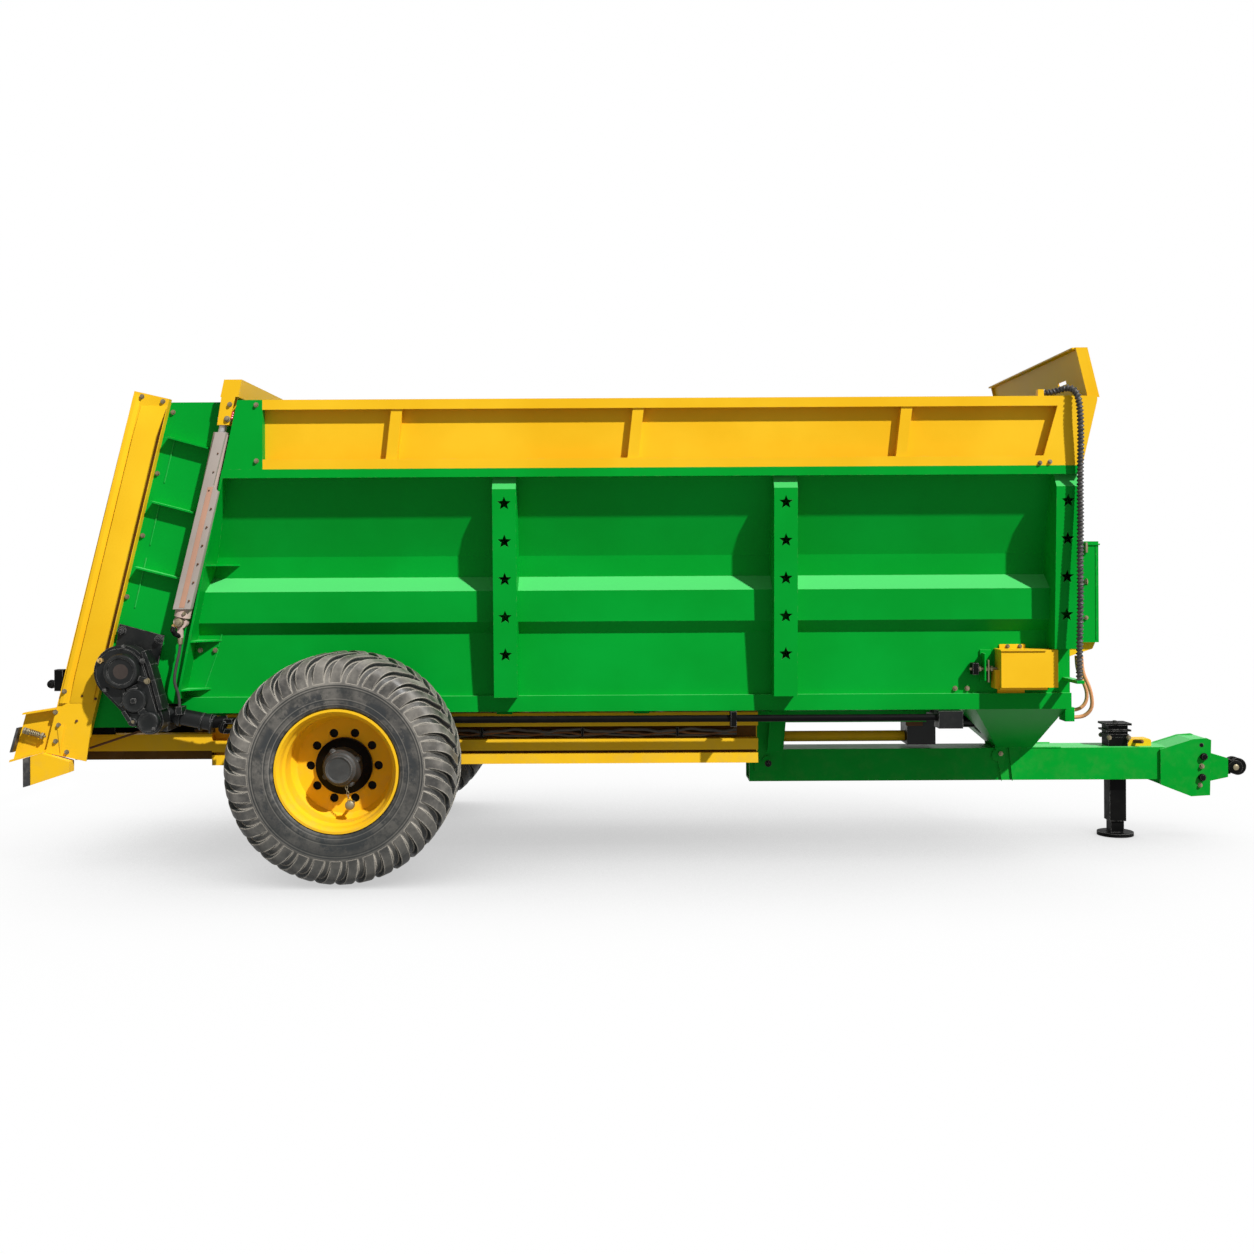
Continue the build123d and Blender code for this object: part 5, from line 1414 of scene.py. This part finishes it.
@dataclass
class RearFrame(SubAssembly):
    """Folds, stops, bolts and lamp lenses of the yellow rear frame, with painted shadow in the groove at its front
    edge and a black plate of painted shade above the arms.
    """

    name: str = "rear_frame_fittings"
    spring_start: Point = (-3.262, 0.800, 0.722)
    spring_end: Point = (-3.150, 0.800, 0.688)
    spring_radius: float = 0.0135
    spring_turns: int = 6
    parts: Sequence[Part] = (
        Skin(YELLOW, [frame_ring(height, FOLD_SECTION) for height in (0.86, 2.425)]),
        Skin(YELLOW, [
            facing_ring(height, thick, front) for height, thick, front in
            ((0.86, 0.004, 0.018), (1.0, 0.018, 0.018), (2.22, 0.018, 0.018), (2.375, 0.004, 0.003))
        ]),
        # Painted shadow: a dark strip in the groove between the facing and the frame's front edge.
        Skin(GROOVE_SHADOW, [groove_ring(height, width) for height, width in ((0.98, 0.014), (2.22, 0.014), (2.36, 0.002))]),
        Block(BLACK, (-3.105, 0.75, 0.92), (-3.062, 0.80, 1.03)),
        Turning(
            BLACK, (-3.125, 0.78, 0.955),
            ((-0.020, 0.010), (-0.014, 0.020), (0.0, 0.023), (0.014, 0.020), (0.020, 0.010)), 16,
        ),
        # Black plate at the arms, made wide enough to fill the gap above them with painted shade.
        Block(BLACK, (-3.02, 0.585, 0.672), (-2.87, 0.595, 0.76)),
        Bar(ZINC, ((-3.262, 0.800, 0.722), (-3.150, 0.800, 0.688)), 0.006, 10),
        Block(RED_LENS, (-3.250, 0.788, 0.448), (-3.244, 0.842, 0.512)),
        Block(AMBER_LENS, (-3.250, 0.788, 0.518), (-3.244, 0.842, 0.582)),
        BoltRow(ZINC, FRAME_FACE, ((-2.6451, 2.4225), (-2.5379, 2.3970))),
        BoltRow(ZINC, FRAME_FACE + 0.013, ((-3.0433, 0.9215),)),
        BoltRow(ZINC, FRAME_FACE, ((-3.0944, 0.8143), (-3.0791, 0.7479), (-3.0944, 0.6662), (-3.0382, 0.6101))),
        BoltRow(RUST, FRAME_FACE, ((-2.9565, 0.8963), (-2.8902, 0.8810), (-2.9872, 0.7687)), 0.010),
        BoltRow(ZINC, PANEL_FACE, ((-2.4997, 2.3456), (-2.5819, 2.0324), (-2.6589, 1.7140), (-2.7411, 1.4008))),
        BoltRow(ZINC, WALL_FACE, ((-2.3936, 1.118), (-2.3156, 1.118), (1.527, 0.8996), (1.5896, 0.8996)), 0.018),
        BoltRow(ZINC, BOARD_FACE, ((-2.0499, 2.3711), (-2.0499, 2.0872))),
        BoltRow(ZINC, BOARD_FACE, ((1.9698, 2.0618), (1.9192, 2.0568)), 0.016),
        Bar(RUST, ((-2.955, 0.72, 0.618), (-2.66, 0.72, 0.715)), 0.006),
        Skin(YELLOW, [[(-3.085, out, 0.742), (-3.05, out, 0.750), (-3.07, out, 0.60)] for out in (0.811, 0.815)]),
    )

    def spring(self, sign: float) -> None:
        """Spring and nuts on the bolt between the frame's foot and the lamp bar.

        Args:
            sign: The side, as the sign of Y.
        """
        start, end = (Vector(mirrored(point, sign)) for point in (self.spring_start, self.spring_end))
        line = (end - start).normalized()
        up = line.orthogonal().normalized()
        out = line.cross(up)
        coil = []
        steps = 12 * self.spring_turns
        for step in range(steps + 1):
            turn = FULL_TURN * step / 12.0
            middle = start.lerp(end, 0.26 + 0.5 * step / steps)
            coil.append(tuple(middle + (up * math.cos(turn) + out * math.sin(turn)) * self.spring_radius))
        zinc = self.shape(ZINC)
        zinc.tube(coil, 0.0035, 6)
        for share in (0.0, 0.14, 0.8):
            zinc.lathe(tuple(start.lerp(end, share)), tuple(line), ((0.0, 0.018), (0.013, 0.018)), 6)

    def build(self) -> None:
        """Gather the listed parts and both springs."""
        super().build()
        for sign in self.sides:
            self.spring(sign)


@dataclass
class GearCase(SubAssembly):
    """Caps, ribs, plugs and bolts of the cast gear case on the near side."""

    name: str = "gear_case_fittings"
    sides: Sequence[float] = (NEAR,)
    face: float = -0.936
    rib_height: float = 0.014
    ribs: Sequence[tuple[tuple[float, float], tuple[float, float], float]] = (
        ((-2.660, 0.960), (-2.655, 0.925), 0.050), ((-2.620, 0.850), (-2.592, 0.805), 0.036),
        ((-2.640, 1.000), (-2.583, 0.986), 0.024), ((-2.700, 0.830), (-2.668, 0.780), 0.020),
        ((-2.790, 1.000), (-2.768, 1.010), 0.040), ((-2.690, 0.905), (-2.700, 0.945), 0.014),
        ((-2.715, 0.860), (-2.690, 0.876), 0.014),
    )
    band: Section = ((-2.585, 1.130), (-2.556, 1.060), (-2.535, 0.985), (-2.514, 0.905), (-2.496, 0.835))
    outlet: Point = (-2.500, -0.752, 0.790)
    outlet_way: Point = (0.205, 0.0, -0.052)
    parts: Sequence[Part] = (
        Turning(
            CHARCOAL, (-2.7055, 0.932, 1.0309),
            ((0, 0.094), (0.012, 0.093), (0.030, 0.089), (0.041, 0.083), (0.044, 0.077), (0.043, 0.067),
             (0.036, 0.0635), (0.035, 0.0)), 36,
        ),
        Turning(
            CAP_DISC, (-2.7055, 0.966, 1.0309),
            ((0, 0.060), (0.002, 0.058), (0.001, 0.050), (0.0025, 0.020), (0.002, 0.0)), 36,
        ),
        Turning(
            CHARCOAL, (-2.6461, 0.932, 0.884),
            ((0, 0.068), (0.012, 0.064), (0.022, 0.058), (0.024, 0.052), (0.021, 0.046), (0.021, 0.0)), 36,
        ),
        Block(CHARCOAL, (-2.657, 0.950, 0.873), (-2.635, 0.964, 0.895)),
        Turning(
            CHARCOAL, (-2.5761, 0.930, 0.7744),
            ((0, 0.060), (0.012, 0.057), (0.022, 0.051), (0.024, 0.047), (0.0215, 0.043), (0.0215, 0.0)), 36,
        ),
        Turning(CHARCOAL, (-2.6568, 0.930, 0.7778), ((0, 0.026), (0.014, 0.022), (0.018, 0.018), (0.018, 0.0)), 36),
        BoltRow(CHARCOAL, 0.9395, ((-2.605, 1.082), (-2.7921, 0.9383), (-2.5464, 0.7427)), 0.018),
        BoltRow(CHARCOAL, 0.9395, ((-2.700, 1.155),), 0.014),
        BoltRow(CHARCOAL, 0.782, ((-2.7624, 1.2268), (-2.5728, 1.1807)), 0.032),
        BoltRow(ZINC, 0.9395, ((-2.5826, 0.9819),), 0.022),
        BoltRow(ZINC, 0.9395, ((-2.6517, 0.7779),), 0.016),
        Turning(
            BRASS, (-2.8121, 0.934, 1.0837),
            ((0, 0.015), (0.014, 0.015), (0.0145, 0.010), (0.030, 0.009), (0.031, 0.0)), 6, (-0.25, 1.0, 0.1),
        ),
    )

    def rib(self, start: tuple[float, float], end: tuple[float, float], width: float) -> None:
        """A raised rib on the main face.

        Args:
            start: One end, as (x, height).
            end: The other end.
            width: Its width.
        """
        line = (Vector(end) - Vector(start)).normalized() * width * 0.5
        across = Vector((-line.y, line.x))
        corners = [Vector(start) + across, Vector(start) - across, Vector(end) - across, Vector(end) + across]
        foot = [(corner.x, self.face + 0.003, corner.y) for corner in corners]
        self.shape(CHARCOAL).prism(foot, (0.0, -self.rib_height - 0.003, 0.0))

    def rim_band(self) -> None:
        """The raised flange band along the case's front edge."""
        for start, end in zip(self.band, self.band[1:]):
            line = Vector(end) - Vector(start)
            across = Vector((line.y, -line.x)).normalized() * 0.010
            corners = [Vector(start) - across, Vector(end) - across, Vector(end) + across, Vector(start) + across]
            foot = [(corner.x - 0.022, -0.930, corner.y) for corner in corners]
            self.shape(CHARCOAL).prism(foot, (0.0, 0.10, 0.0))

    def neck(self) -> None:
        """Collar rings, clamp and universal joint at the case's outlet."""
        line = Vector(self.outlet_way).normalized()
        start = Vector(self.outlet)
        for reach, radius, length in ((0.02, 0.052, 0.018), (0.135, 0.048, 0.014), (0.19, 0.050, 0.012)):
            ring = ((0.0, radius - 0.006), (0.003, radius), (length - 0.003, radius), (length, radius - 0.006))
            self.shape(CHARCOAL).lathe(tuple(start + line * reach), tuple(line), ring, 28)
        joint = self.shape(BLACK)
        cross = start + line * 0.235
        joint.lathe(tuple(cross), tuple(line), ((0.0, 0.026), (0.012, 0.034), (0.024, 0.034), (0.03, 0.022)), 20)
        for height in (-0.026, 0.026):
            low = cross + Vector((0.020, 0.0, height))
            joint.box((low.x, low.y - 0.014, low.z - 0.012), (low.x + 0.045, low.y + 0.014, low.z + 0.012))

    def build(self) -> None:
        """Gather the listed parts, the ribs, the band and the neck."""
        super().build()
        for start, end, width in self.ribs:
            self.rib(start, end, width)
        self.rim_band()
        self.neck()


@dataclass
class WheelHub(SubAssembly):
    """The plain hub cap, with its chained grease cap and wire clip."""

    links: int = 5
    parts: Sequence[Part] = (
        Turning(
            HUB_CAST, (AXLE_X, 1.035, AXLE_Z),
            ((0.0, 0.100), (0.036, 0.098), (0.048, 0.091), (0.080, 0.083), (0.108, 0.080), (0.114, 0.071),
             (0.130, 0.068), (0.134, 0.064), (0.132, 0.058), (0.129, 0.054), (0.129, 0.0)), 40,
        ),
        *(
            Turning(
                HUB_CAST, (AXLE_X + 0.090 * math.cos(turn), 1.060, AXLE_Z + 0.090 * math.sin(turn)),
                ((0, 0.016), (0.04, 0.014), (0.045, 0.0)), 10,
            )
            for turn in (0.5, 0.5 + 0.25 * FULL_TURN, 0.5 + 0.5 * FULL_TURN, 0.5 + 0.75 * FULL_TURN)
        ),
        Turning(
            ZINC, (AXLE_X + 0.044, 1.100, AXLE_Z - 0.180),
            ((0, 0.020), (0.004, 0.023), (0.022, 0.023), (0.026, 0.018), (0.028, 0.0)), 18,
        ),
        Turning(ZINC, (AXLE_X + 0.044, 1.02, AXLE_Z - 0.180), ((0, 0.008), (0.09, 0.008)), 10),
        Bar(BLACK, [
            (AXLE_X + along, out, AXLE_Z - drop) for along, out, drop in
            ((0.085, 0.985, 0.225), (0.080, 1.03, 0.235), (0.055, 1.045, 0.250), (0.030, 1.045, 0.268),
             (0.055, 1.04, 0.272), (0.085, 1.03, 0.262))
        ], 0.004),
        Turning(BLACK, (AXLE_X, 1.02, AXLE_Z), ((0.0, 0.104), (0.012, 0.104), (0.016, 0.100), (0.016, 0.088)), 40),
    )

    def chain(self, sign: float) -> None:
        """The chain of round links that holds the grease cap.

        Args:
            sign: The side, as the sign of Y.
        """
        for number in range(self.links):
            middle = Vector((AXLE_X + 0.030 + 0.003 * number, sign * 1.125, AXLE_Z - 0.092 - 0.015 * number))
            flat = number % 2
            link = []
            for step in range(13):
                turn = FULL_TURN * step / 12
                side = 0.006 * math.cos(turn)
                link.append((middle.x + side * (1 - flat), middle.y + side * flat, middle.z + 0.011 * math.sin(turn)))
            self.shape(ZINC).tube(link, 0.0018, 6)

    def build(self) -> None:
        """Gather the listed parts and the chain."""
        super().build()
        for sign in self.sides:
            self.chain(sign)


GUARD_FOOT, GUARD_TOP = 1.338, 2.232
GUARD_CHANNEL = (
    (-0.296, 0.834), (-0.296, 0.879), (-0.350, 0.879), (-0.350, 0.834), (-0.346, 0.834), (-0.346, 0.875),
    (-0.300, 0.875), (-0.300, 0.834),
)
GUARD_WING = (
    (-0.349, 0.872), (-0.349, 0.877), (-0.384, 0.877), (-0.384, 0.834), (-0.380, 0.834), (-0.380, 0.872)
)
STRIPE_SECTION = ((-0.325, 0.877), (-0.325, 0.8805), (-0.352, 0.8805), (-0.352, 0.877))
SCREW_HEIGHTS = [1.38 + 0.093 * number for number in range(9)]
WING_TOP = 1.965


def wing_top() -> list[Point]:
    """The guard wing's upper ring, which slopes down to the front."""
    ring = []
    for behind, out in GUARD_WING:
        height = WING_TOP + behind - GUARD_WING[0][0]
        ring.append((along_frame(behind, height), out, height))
    return ring


@dataclass
class Cylinders(SubAssembly):
    """Pins, fittings and guards of both door cylinders."""

    name: str = "cylinder_fittings"
    stands_for: dict[Finish, tuple[str, ...]] = field(default_factory=lambda: {GREY_PAINT: ("cylinder_guards",)})
    parts: Sequence[Part] = (
        Turning(
            ZINC, (-2.4449, 0.848, 1.271),
            ((0, 0.021), (0.029, 0.021), (0.031, 0.012), (0.038, 0.011), (0.039, 0.0)), 16,
        ),
        BoltRow(ZINC, 0.866, ((-2.4189, 1.316),), 0.014),
        Turning(
            BRASS, (-2.4649, 0.850, 1.253),
            ((0, 0.015), (0.018, 0.015), (0.0185, 0.010), (0.028, 0.010), (0.029, 0.0)), 6, (-0.3, 1.0, -0.2),
            near=True,
        ),
        Bar(
            BLACK,
            ((-2.4709, 0.868, 1.249), (-2.4749, 0.872, 1.231), (-2.4649, 0.862, 1.211), (-2.4449, 0.847, 1.199)),
            0.013, 12, near=True,
        ),
        Turning(
            ZINC, (-2.4449, 0.845, 1.193), ((0, 0.0125), (0.006, 0.0135), (0.034, 0.0125), (0.036, 0.0)), 12,
            (0.0, 0.0, -1.0), near=True,
        ),
        Skin(GUARD_STRIPE, [frame_ring(height, STRIPE_SECTION) for height in (1.345, 1.955)]),
        Skin(GREY_PAINT, [frame_ring(height, GUARD_CHANNEL) for height in (GUARD_FOOT, GUARD_TOP)]),
        Skin(GREY_PAINT, [frame_ring(GUARD_FOOT, GUARD_WING), wing_top()]),
        BoltRow(RUST, 0.878, [(along_frame(-0.368, z), z) for z in SCREW_HEIGHTS[:6]], 0.007, near=True),
        BoltRow(RUST, 0.878, [(along_frame(-0.336, z), z) for z in SCREW_HEIGHTS[6:]], 0.007, near=True),
    )


@dataclass
class DoorFittings(SubAssembly):
    """Bolts, rubber buffers and clevis pins that lift with the door."""

    name: str = "door_fittings"
    body: Body = Body.DOOR
    parts: Sequence[Part] = (
        BoltRow(ZINC, 0.860, ((-2.183, 2.374),)),
        Turning(
            RED_LENS, (-2.182, 0.838, 2.300), [(0.006 * step, 0.017 + 0.003 * (step % 2)) for step in range(8)], 16,
            (LEAN, 0.0, 1.0),
        ),
        Turning(
            ZINC, (-2.196, 0.860, 2.300),
            ((0, 0.016), (0.006, 0.016), (0.0065, 0.010), (0.014, 0.009), (0.015, 0.0)), 14,
        ),
    )


@dataclass
class ChainCase(SubAssembly):
    """Plates, bolts and chain tensioner beside the yellow chain cover."""

    name: str = "chain_case_fittings"
    sides: Sequence[float] = (NEAR,)
    parts: Sequence[Part] = (
        Block(YELLOW, (1.756, 0.676, 1.106), (1.889, 0.690, 1.128)),
        Block(YELLOW, (1.745, 0.676, 0.874), (1.885, 0.692, 0.895)),
        BoltRow(ZINC, 0.690, ((1.798, 1.117), (1.862, 1.117)), 0.016),
        Block(GREEN, (1.655, 0.676, 0.930), (1.712, 0.690, 1.100)),
        Block(GREEN, (1.662, 0.684, 0.945), (1.670, 0.752, 1.085)),
        Turning(ZINC, (1.592, 0.720, 1.004), ((0, 0.008), (0.143, 0.008)), 14, FORWARDS),
        *(
            Turning(ZINC, (x, 0.720, 1.004), ((0, 0.016), (0.012, 0.016)), 6, FORWARDS)
            for x in (1.640, 1.671, 1.700)
        ),
        Block(ZINC, (1.684, 0.705, 0.935), (1.692, 0.735, 1.050)),
        Block(BLACK, (1.604, 0.684, 0.975), (1.634, 0.745, 1.035)),
    )


@dataclass
class FrontBox(SubAssembly):
    """Door seam, hinge, latch and bolts of the green box on the front wall."""

    name: str = "front_box_fittings"
    sides: Sequence[float] = (NEAR,)
    parts: Sequence[Part] = (
        Block(GREEN, (2.150, 0.688, 1.150), (2.156, 0.694, 1.636)),
        Block(GREEN, (2.256, 0.688, 1.150), (2.262, 0.693, 1.636)),
        BoltRow(ZINC, 0.690, ((2.207, 1.6275), (2.207, 1.451), (2.207, 1.264)), 0.015),
        Bar(ZINC, [
            (2.205, out, z) for out, z in ((0.694, 1.466), (0.712, 1.462), (0.714, 1.440), (0.702, 1.434))
        ], 0.004),
        Turning(ZINC, (2.205, 0.698, 1.602), ((0, 0.009), (0.052, 0.009)), 12, UPWARDS),
    )


@dataclass
class HitchGear(SubAssembly):
    """Knobs, nuts, collars and brackets along the drawbar and its head."""

    name: str = "hitch_fittings"
    parts: Sequence[Part] = (
        *(
            Turning(
                BLACK, (x, 0.112, z),
                ((0, 0.012), (0.004, 0.020), (0.016, 0.021), (0.024, 0.016), (0.026, 0.0)), 18,
            )
            for x, z in ((3.055, 0.458), (3.045, 0.342))
        ),
        BoltRow(ZINC, 0.1145, ((3.0455, 0.404),), 0.020),
        BoltRow(ZINC, 0.1145, ((3.036, 0.298),), 0.018),
        BoltRow(BLACK, 0.172, ((0.6088, 0.440),), 0.026),
        BoltRow(ZINC, 0.104, ((1.9186, 0.480),), 0.024),
        Turning(BLACK, (3.0455, 0.1145, 0.522), ((0, 0.013), (0.0015, 0.012), (0.0016, 0.0)), 18),
        Turning(BLACK, (3.160, 0.040, 0.390), ((0, 0.038), (0.006, 0.038), (0.008, 0.034), (0.008, 0.016))),
        Turning(
            BLACK, (3.266, 0.039, 0.387), ((0, 0.040), (0.010, 0.040), (0.012, 0.036), (0.013, 0.020)), 28, near=True
        ),
        Turning(
            ZINC, (3.266, 0.050, 0.387), ((0, 0.017), (0.005, 0.017), (0.008, 0.012), (0.008, 0)), 20, near=True
        ),
        Turning(GREEN, (1.905, 0.100, 0.470), ((0, 0.034), (0.010, 0.034), (0.011, 0.024)), near=True),
        Bar(WELD, ((2.070, 0.1, 0.512), (2.260, 0.1, 0.512)), 0.004),
        Block(RUST, (1.390, 0.100, 0.640), (1.480, 0.130, 0.690), near=True),
    )


@dataclass
class JackFittings(SubAssembly):
    """Bolts, handle and pins of the jack's head."""

    name: str = "jack_fittings"
    parts: Sequence[Part] = (
        BoltRow(ZINC, 0.067, ((2.545, 0.560), (2.655, 0.560)), 0.018),
        Turning(
            RUST, (2.690, 0.030, 0.534), ((0, 0.011), (0.075, 0.011), (0.080, 0.007), (0.081, 0.0)), 14,
            (0.4, 0.9, 0.1), near=True,
        ),
        Turning(
            BLACK, (2.600, 0.0, 0.628),
            ((0, 0.030), (0.012, 0.030), (0.016, 0.012), (0.022, 0.010), (0.023, 0.0)), 20, UPWARDS, near=True,
        ),
    )


@dataclass
class Underside(SubAssembly):
    """Cables and pipes laid in the recess of the chassis rails, with dark brown strips of painted shade in the recess
    and in the slot below it.
    """

    name: str = "underside"
    span: tuple[float, float] = (-1.15, 0.40)
    steps: int = 90
    parts: Sequence[Part] = (
        # Painted shade: dark brown strips in the rail's recess and slot.
        Block(SHADE_BROWN, (-1.50, 0.531, 0.636), (0.505, 0.540, 0.702)),
        Block(SHADE_BROWN, (-1.50, 0.555, 0.562), (0.505, 0.566, 0.5765)),
        *(Block(BLACK, (x, 0.560, 0.645), (x + 0.014, 0.586, 0.695)) for x in (-0.95, -0.42, 0.08)),
    )

    def run(self, height: float, out: float, wave: float, finish: Finish, radius: float, phase: float) -> None:
        """One cable that waves along the rail.

        Args:
            height: Its height.
            out: Its place along Y.
            wave: Height of its waves.
            finish: Its finish.
            radius: Its radius.
            phase: Start of its waves.
        """
        start, end = self.span
        path = []
        for number in range(self.steps + 1):
            x = start + (end - start) * number / self.steps
            drop = wave * math.sin(number * 0.35 + phase) + 0.4 * wave * math.sin(number * 0.93 + 2 * phase)
            path.append((x, out + 0.3 * drop, height + drop))
        self.shape(finish).tube(path, radius, 8)

    def build(self) -> None:
        """Gather the cables of both rails and the listed parts."""
        for sign in self.sides:
            self.run(0.678, sign * 0.572, 0.006, BLACK_HOSE, 0.009, 0.0)
            self.run(0.664, sign * 0.574, 0.005, RUST, 0.006, 1.7)
            self.run(0.654, sign * 0.570, 0.004, BLACK_HOSE, 0.008, 3.1)
        super().build()


@dataclass
class HoseSeats(SubAssembly):
    """Green sleeves over the bracket feet that the hoses end in."""

    name: str = "hose_seats"
    sides: Sequence[float] = (NEAR,)
    parts: Sequence[Part] = (
        Block(GREEN, (2.1115, 0.5395, 0.7195), (2.1605, 0.6405, 0.7935)),
        Block(GREEN, (2.0845, 0.6795, 0.9395), (2.1245, 0.9055, 0.9555)),
    )


@dataclass
class Welds(SubAssembly):
    """Weld beads where posts, ribs and panels meet, in a lighter green that paints their highlight."""

    name: str = "welds"
    rounding: float = 0.0
    parts: Sequence[Part] = tuple(
        Bar(WELD, ((x, out, z), (end_x, out, end_z)), 0.0035, 6)
        for out, x, z, end_x, end_z in (
            (0.682, -2.372, 0.915, -2.300, 1.120), (0.682, -2.300, 1.135, -2.255, 1.290),
            (0.772, -2.545, 1.985, -2.490, 2.210), (0.772, -2.700, 1.345, -2.640, 1.600),
            (0.772, -2.620, 1.665, -2.570, 1.880),
        )
    )


# ---------------------------------------------------------------- CAD nodes that stay
NODE_FINISHES: dict[Finish, tuple[str, ...]] = {
    GREEN: (
        "body_side_right", "body_side_left", "side_posts", "body_front", "body_bearers", "drawbar",
        "drawbar_hanger", "drawbar_support", "hitch_head", "rear_panels", "rear_door", "front_box",
        "closing_plates",
    ),
    YELLOW: (
        "chassis", "top_boards", "front_visor", "rear_frame", "rear_deflector", "beater_lower",
        "beater_upper", "spinner_shaft", "chain_cover", "hose_brackets", "wheel_right_rim",
        "wheel_left_rim", "door_beam", "jack_lever",
    ),
    STEEL: ("body_floor", "floor_chain", "floor_shafts", "door_rods"),
    # The black of the spinners is painted shade, to match the dark under the deflector.
    BLACK: (
        "axle", "tow_fork", "jack_tube", "jack_leg", "drive_shaft", "shaft_bearing",
        "wheel_right_hub", "wheel_left_hub", "spinner_right", "spinner_left",
    ),
    # Painted shade: the spinner beam is dark brown in place of its shaded yellow.
    SHADE_BROWN: ("spinner_beam",),
    CHARCOAL: ("side_gearbox", "front_gearbox"),
    PRIMER: ("door_cylinders",),
    BLACK_PLASTIC: ("rear_lamps",),
}


def paint_frame(nodes: dict[str, bpy.types.Object]) -> None:
    """Give every CAD node that stays its finish.

    Args:
        nodes: The frame's objects by node name.
    """
    for finish, names in NODE_FINISHES.items():
        for name in names:
            for slot in nodes[name].material_slots:
                slot.material = SHOP.get(finish)
            LOG.info("%s painted %s", name, finish.name)


# ---------------------------------------------------------------- studio
def seen_rays(tree: Tree) -> Channel:
    """Mark the rays that show a surface directly, in gloss or through glass.

    Args:
        tree: The tree that asks.

    Returns:
        1 on those rays, otherwise 0.
    """
    rays = tree.node("ShaderNodeLightPath").outputs
    kinds = [Channel(tree, rays[name]) for name in ("Is Camera Ray", "Is Glossy Ray", "Is Transmission Ray")]
    return kinds[0].larger(kinds[1]).larger(kinds[2])


@dataclass
class Studio:
    """Pale floor, soft lights and the camera."""

    camera_place: Point = (-0.220, -7.830, 1.560)
    lens: float = 39.5
    shift: tuple[float, float] = (0.007, -0.051)
    roll: float = 0.3
    sensor_width: float = 36.0
    sight: float = 200.0
    floor_size: float = 60.0
    floor_grey: float = 0.28
    floor_shown_white: float = 0.97
    shadow_reach: float = 2.2
    sun_strength: float = 4.6
    sun_width: float = 1.6
    sun_place: Point = (4.0, -6.0, 8.0)
    sun_way: Point = (-0.50, 0.53, -0.69)
    sky_strength: float = 0.25

    def build(self) -> None:
        """Set up floor, light and camera."""
        self.floor()
        self.world()
        self.lamps()
        self.camera()
        bpy.context.scene.view_settings.view_transform = "Standard"

    def floor(self) -> None:
        """A pale floor: the camera sees a white glow with a soft shadow painted under the machine, over a faint share
        of the lit floor with its cast shadow.
        """
        recipe = Recipe("pale_floor")
        matt = recipe.node("ShaderNodeBsdfDiffuse", inputs={"Color": (*(self.floor_grey,) * 3, 1.0)})
        # Painted shadow: the white glow dims where the machine closes in the floor from above.
        free = recipe.channel("ShaderNodeAmbientOcclusion", {"samples": 8}, {"Distance": self.shadow_reach}, "AO")
        open_sky = free.ramp(0.0, 0.95, 0.55, 1.02)
        pale = recipe.node("ShaderNodeEmission", inputs={"Strength": open_sky})
        mixed = recipe.node(
            "ShaderNodeMixShader",
            inputs={0: seen_rays(recipe) * self.floor_shown_white, 1: matt.outputs[0], 2: pale.outputs[0]},
        )
        recipe.feed(recipe.output.inputs["Surface"], mixed.outputs[0])
        reach = self.floor_size / 2
        data = bpy.data.meshes.new("floor")
        data.from_pydata(
            [(-reach, -reach, 0.0), (reach, -reach, 0.0), (reach, reach, 0.0), (-reach, reach, 0.0)],
            [],
            [(0, 1, 2, 3)],
        )
        data.materials.append(recipe.material)
        stand("floor", data)

    def world(self) -> None:
        """An even sky that is white where the camera sees it."""
        world = bpy.data.worlds.new("studio")
        bpy.context.scene.world = world
        world.use_nodes = True
        tree = Tree(world.node_tree)
        strength = seen_rays(tree) * (1.0 - self.sky_strength) + self.sky_strength
        sky = tree.node("ShaderNodeBackground", inputs={"Color": (1.0, 1.0, 1.0, 1.0), "Strength": strength})
        tree.node("ShaderNodeOutputWorld", inputs={"Surface": sky.outputs[0]})

    def lamps(self) -> None:
        """One sun from the upper front right."""
        light = bpy.data.lights.new("sun", "SUN")
        light.energy = self.sun_strength
        light.angle = math.radians(self.sun_width)
        sun = stand("sun", light)
        sun.rotation_euler = Vector(self.sun_way).to_track_quat("-Z", "Y").to_euler()
        sun.location = self.sun_place

    def camera(self) -> None:
        """The camera, level and square to the machine's side."""
        data = bpy.data.cameras.new("camera")
        data.lens = self.lens
        data.sensor_width = self.sensor_width
        data.shift_x, data.shift_y = self.shift
        data.clip_end = self.sight
        made = stand("camera", data)
        made.location = self.camera_place
        made.rotation_euler = (math.pi / 2, math.radians(self.roll), 0.0)
        bpy.context.scene.camera = made


# ---------------------------------------------------------------- the whole machine
def main() -> None:
    """Load the frame, build each sub-assembly in order and set up the studio."""
    logging.basicConfig(level=logging.INFO, format="%(name)s: %(message)s")
    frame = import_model()
    Studio().build()
    paint_frame(frame["nodes"])
    copies, bolt_tree, wrap = TurnedCopies(), BoltField(), SpiralWrap()
    winding = wrap.run(BUNDLE.path(), "hose_wrap", BLACK_PLASTIC, Reach=0.0135, Turn_Length=0.019, Band=0.0050)
    fit(winding, Body.ROOT)
    BUNDLE.build([winding])
    for hose in (LOOP_OUTER, LOOP_INNER, LIFT_HOSE):
        hose.build()
    wheels = (("right", NEAR, Body.WHEEL_RIGHT), ("left", -NEAR, Body.WHEEL_LEFT))
    hubs = [WheelHub(f"hub_{side}_fittings", body, sides=(sign,)) for side, sign, body in wheels]
    groups = (
        RearFrame(), GearCase(), *hubs, Cylinders(), DoorFittings(), ChainCase(), FrontBox(), HitchGear(),
        JackFittings(), Underside(), HoseSeats(), Welds(),
    )
    for seed, group in enumerate(groups):
        group.make(bolt_tree, seed)
    for side, sign, body in wheels:
        Tyre(side, body, (AXLE_X, sign * WHEEL_OUT, AXLE_Z)).build(copies)


if __name__ == "__main__":
    main()
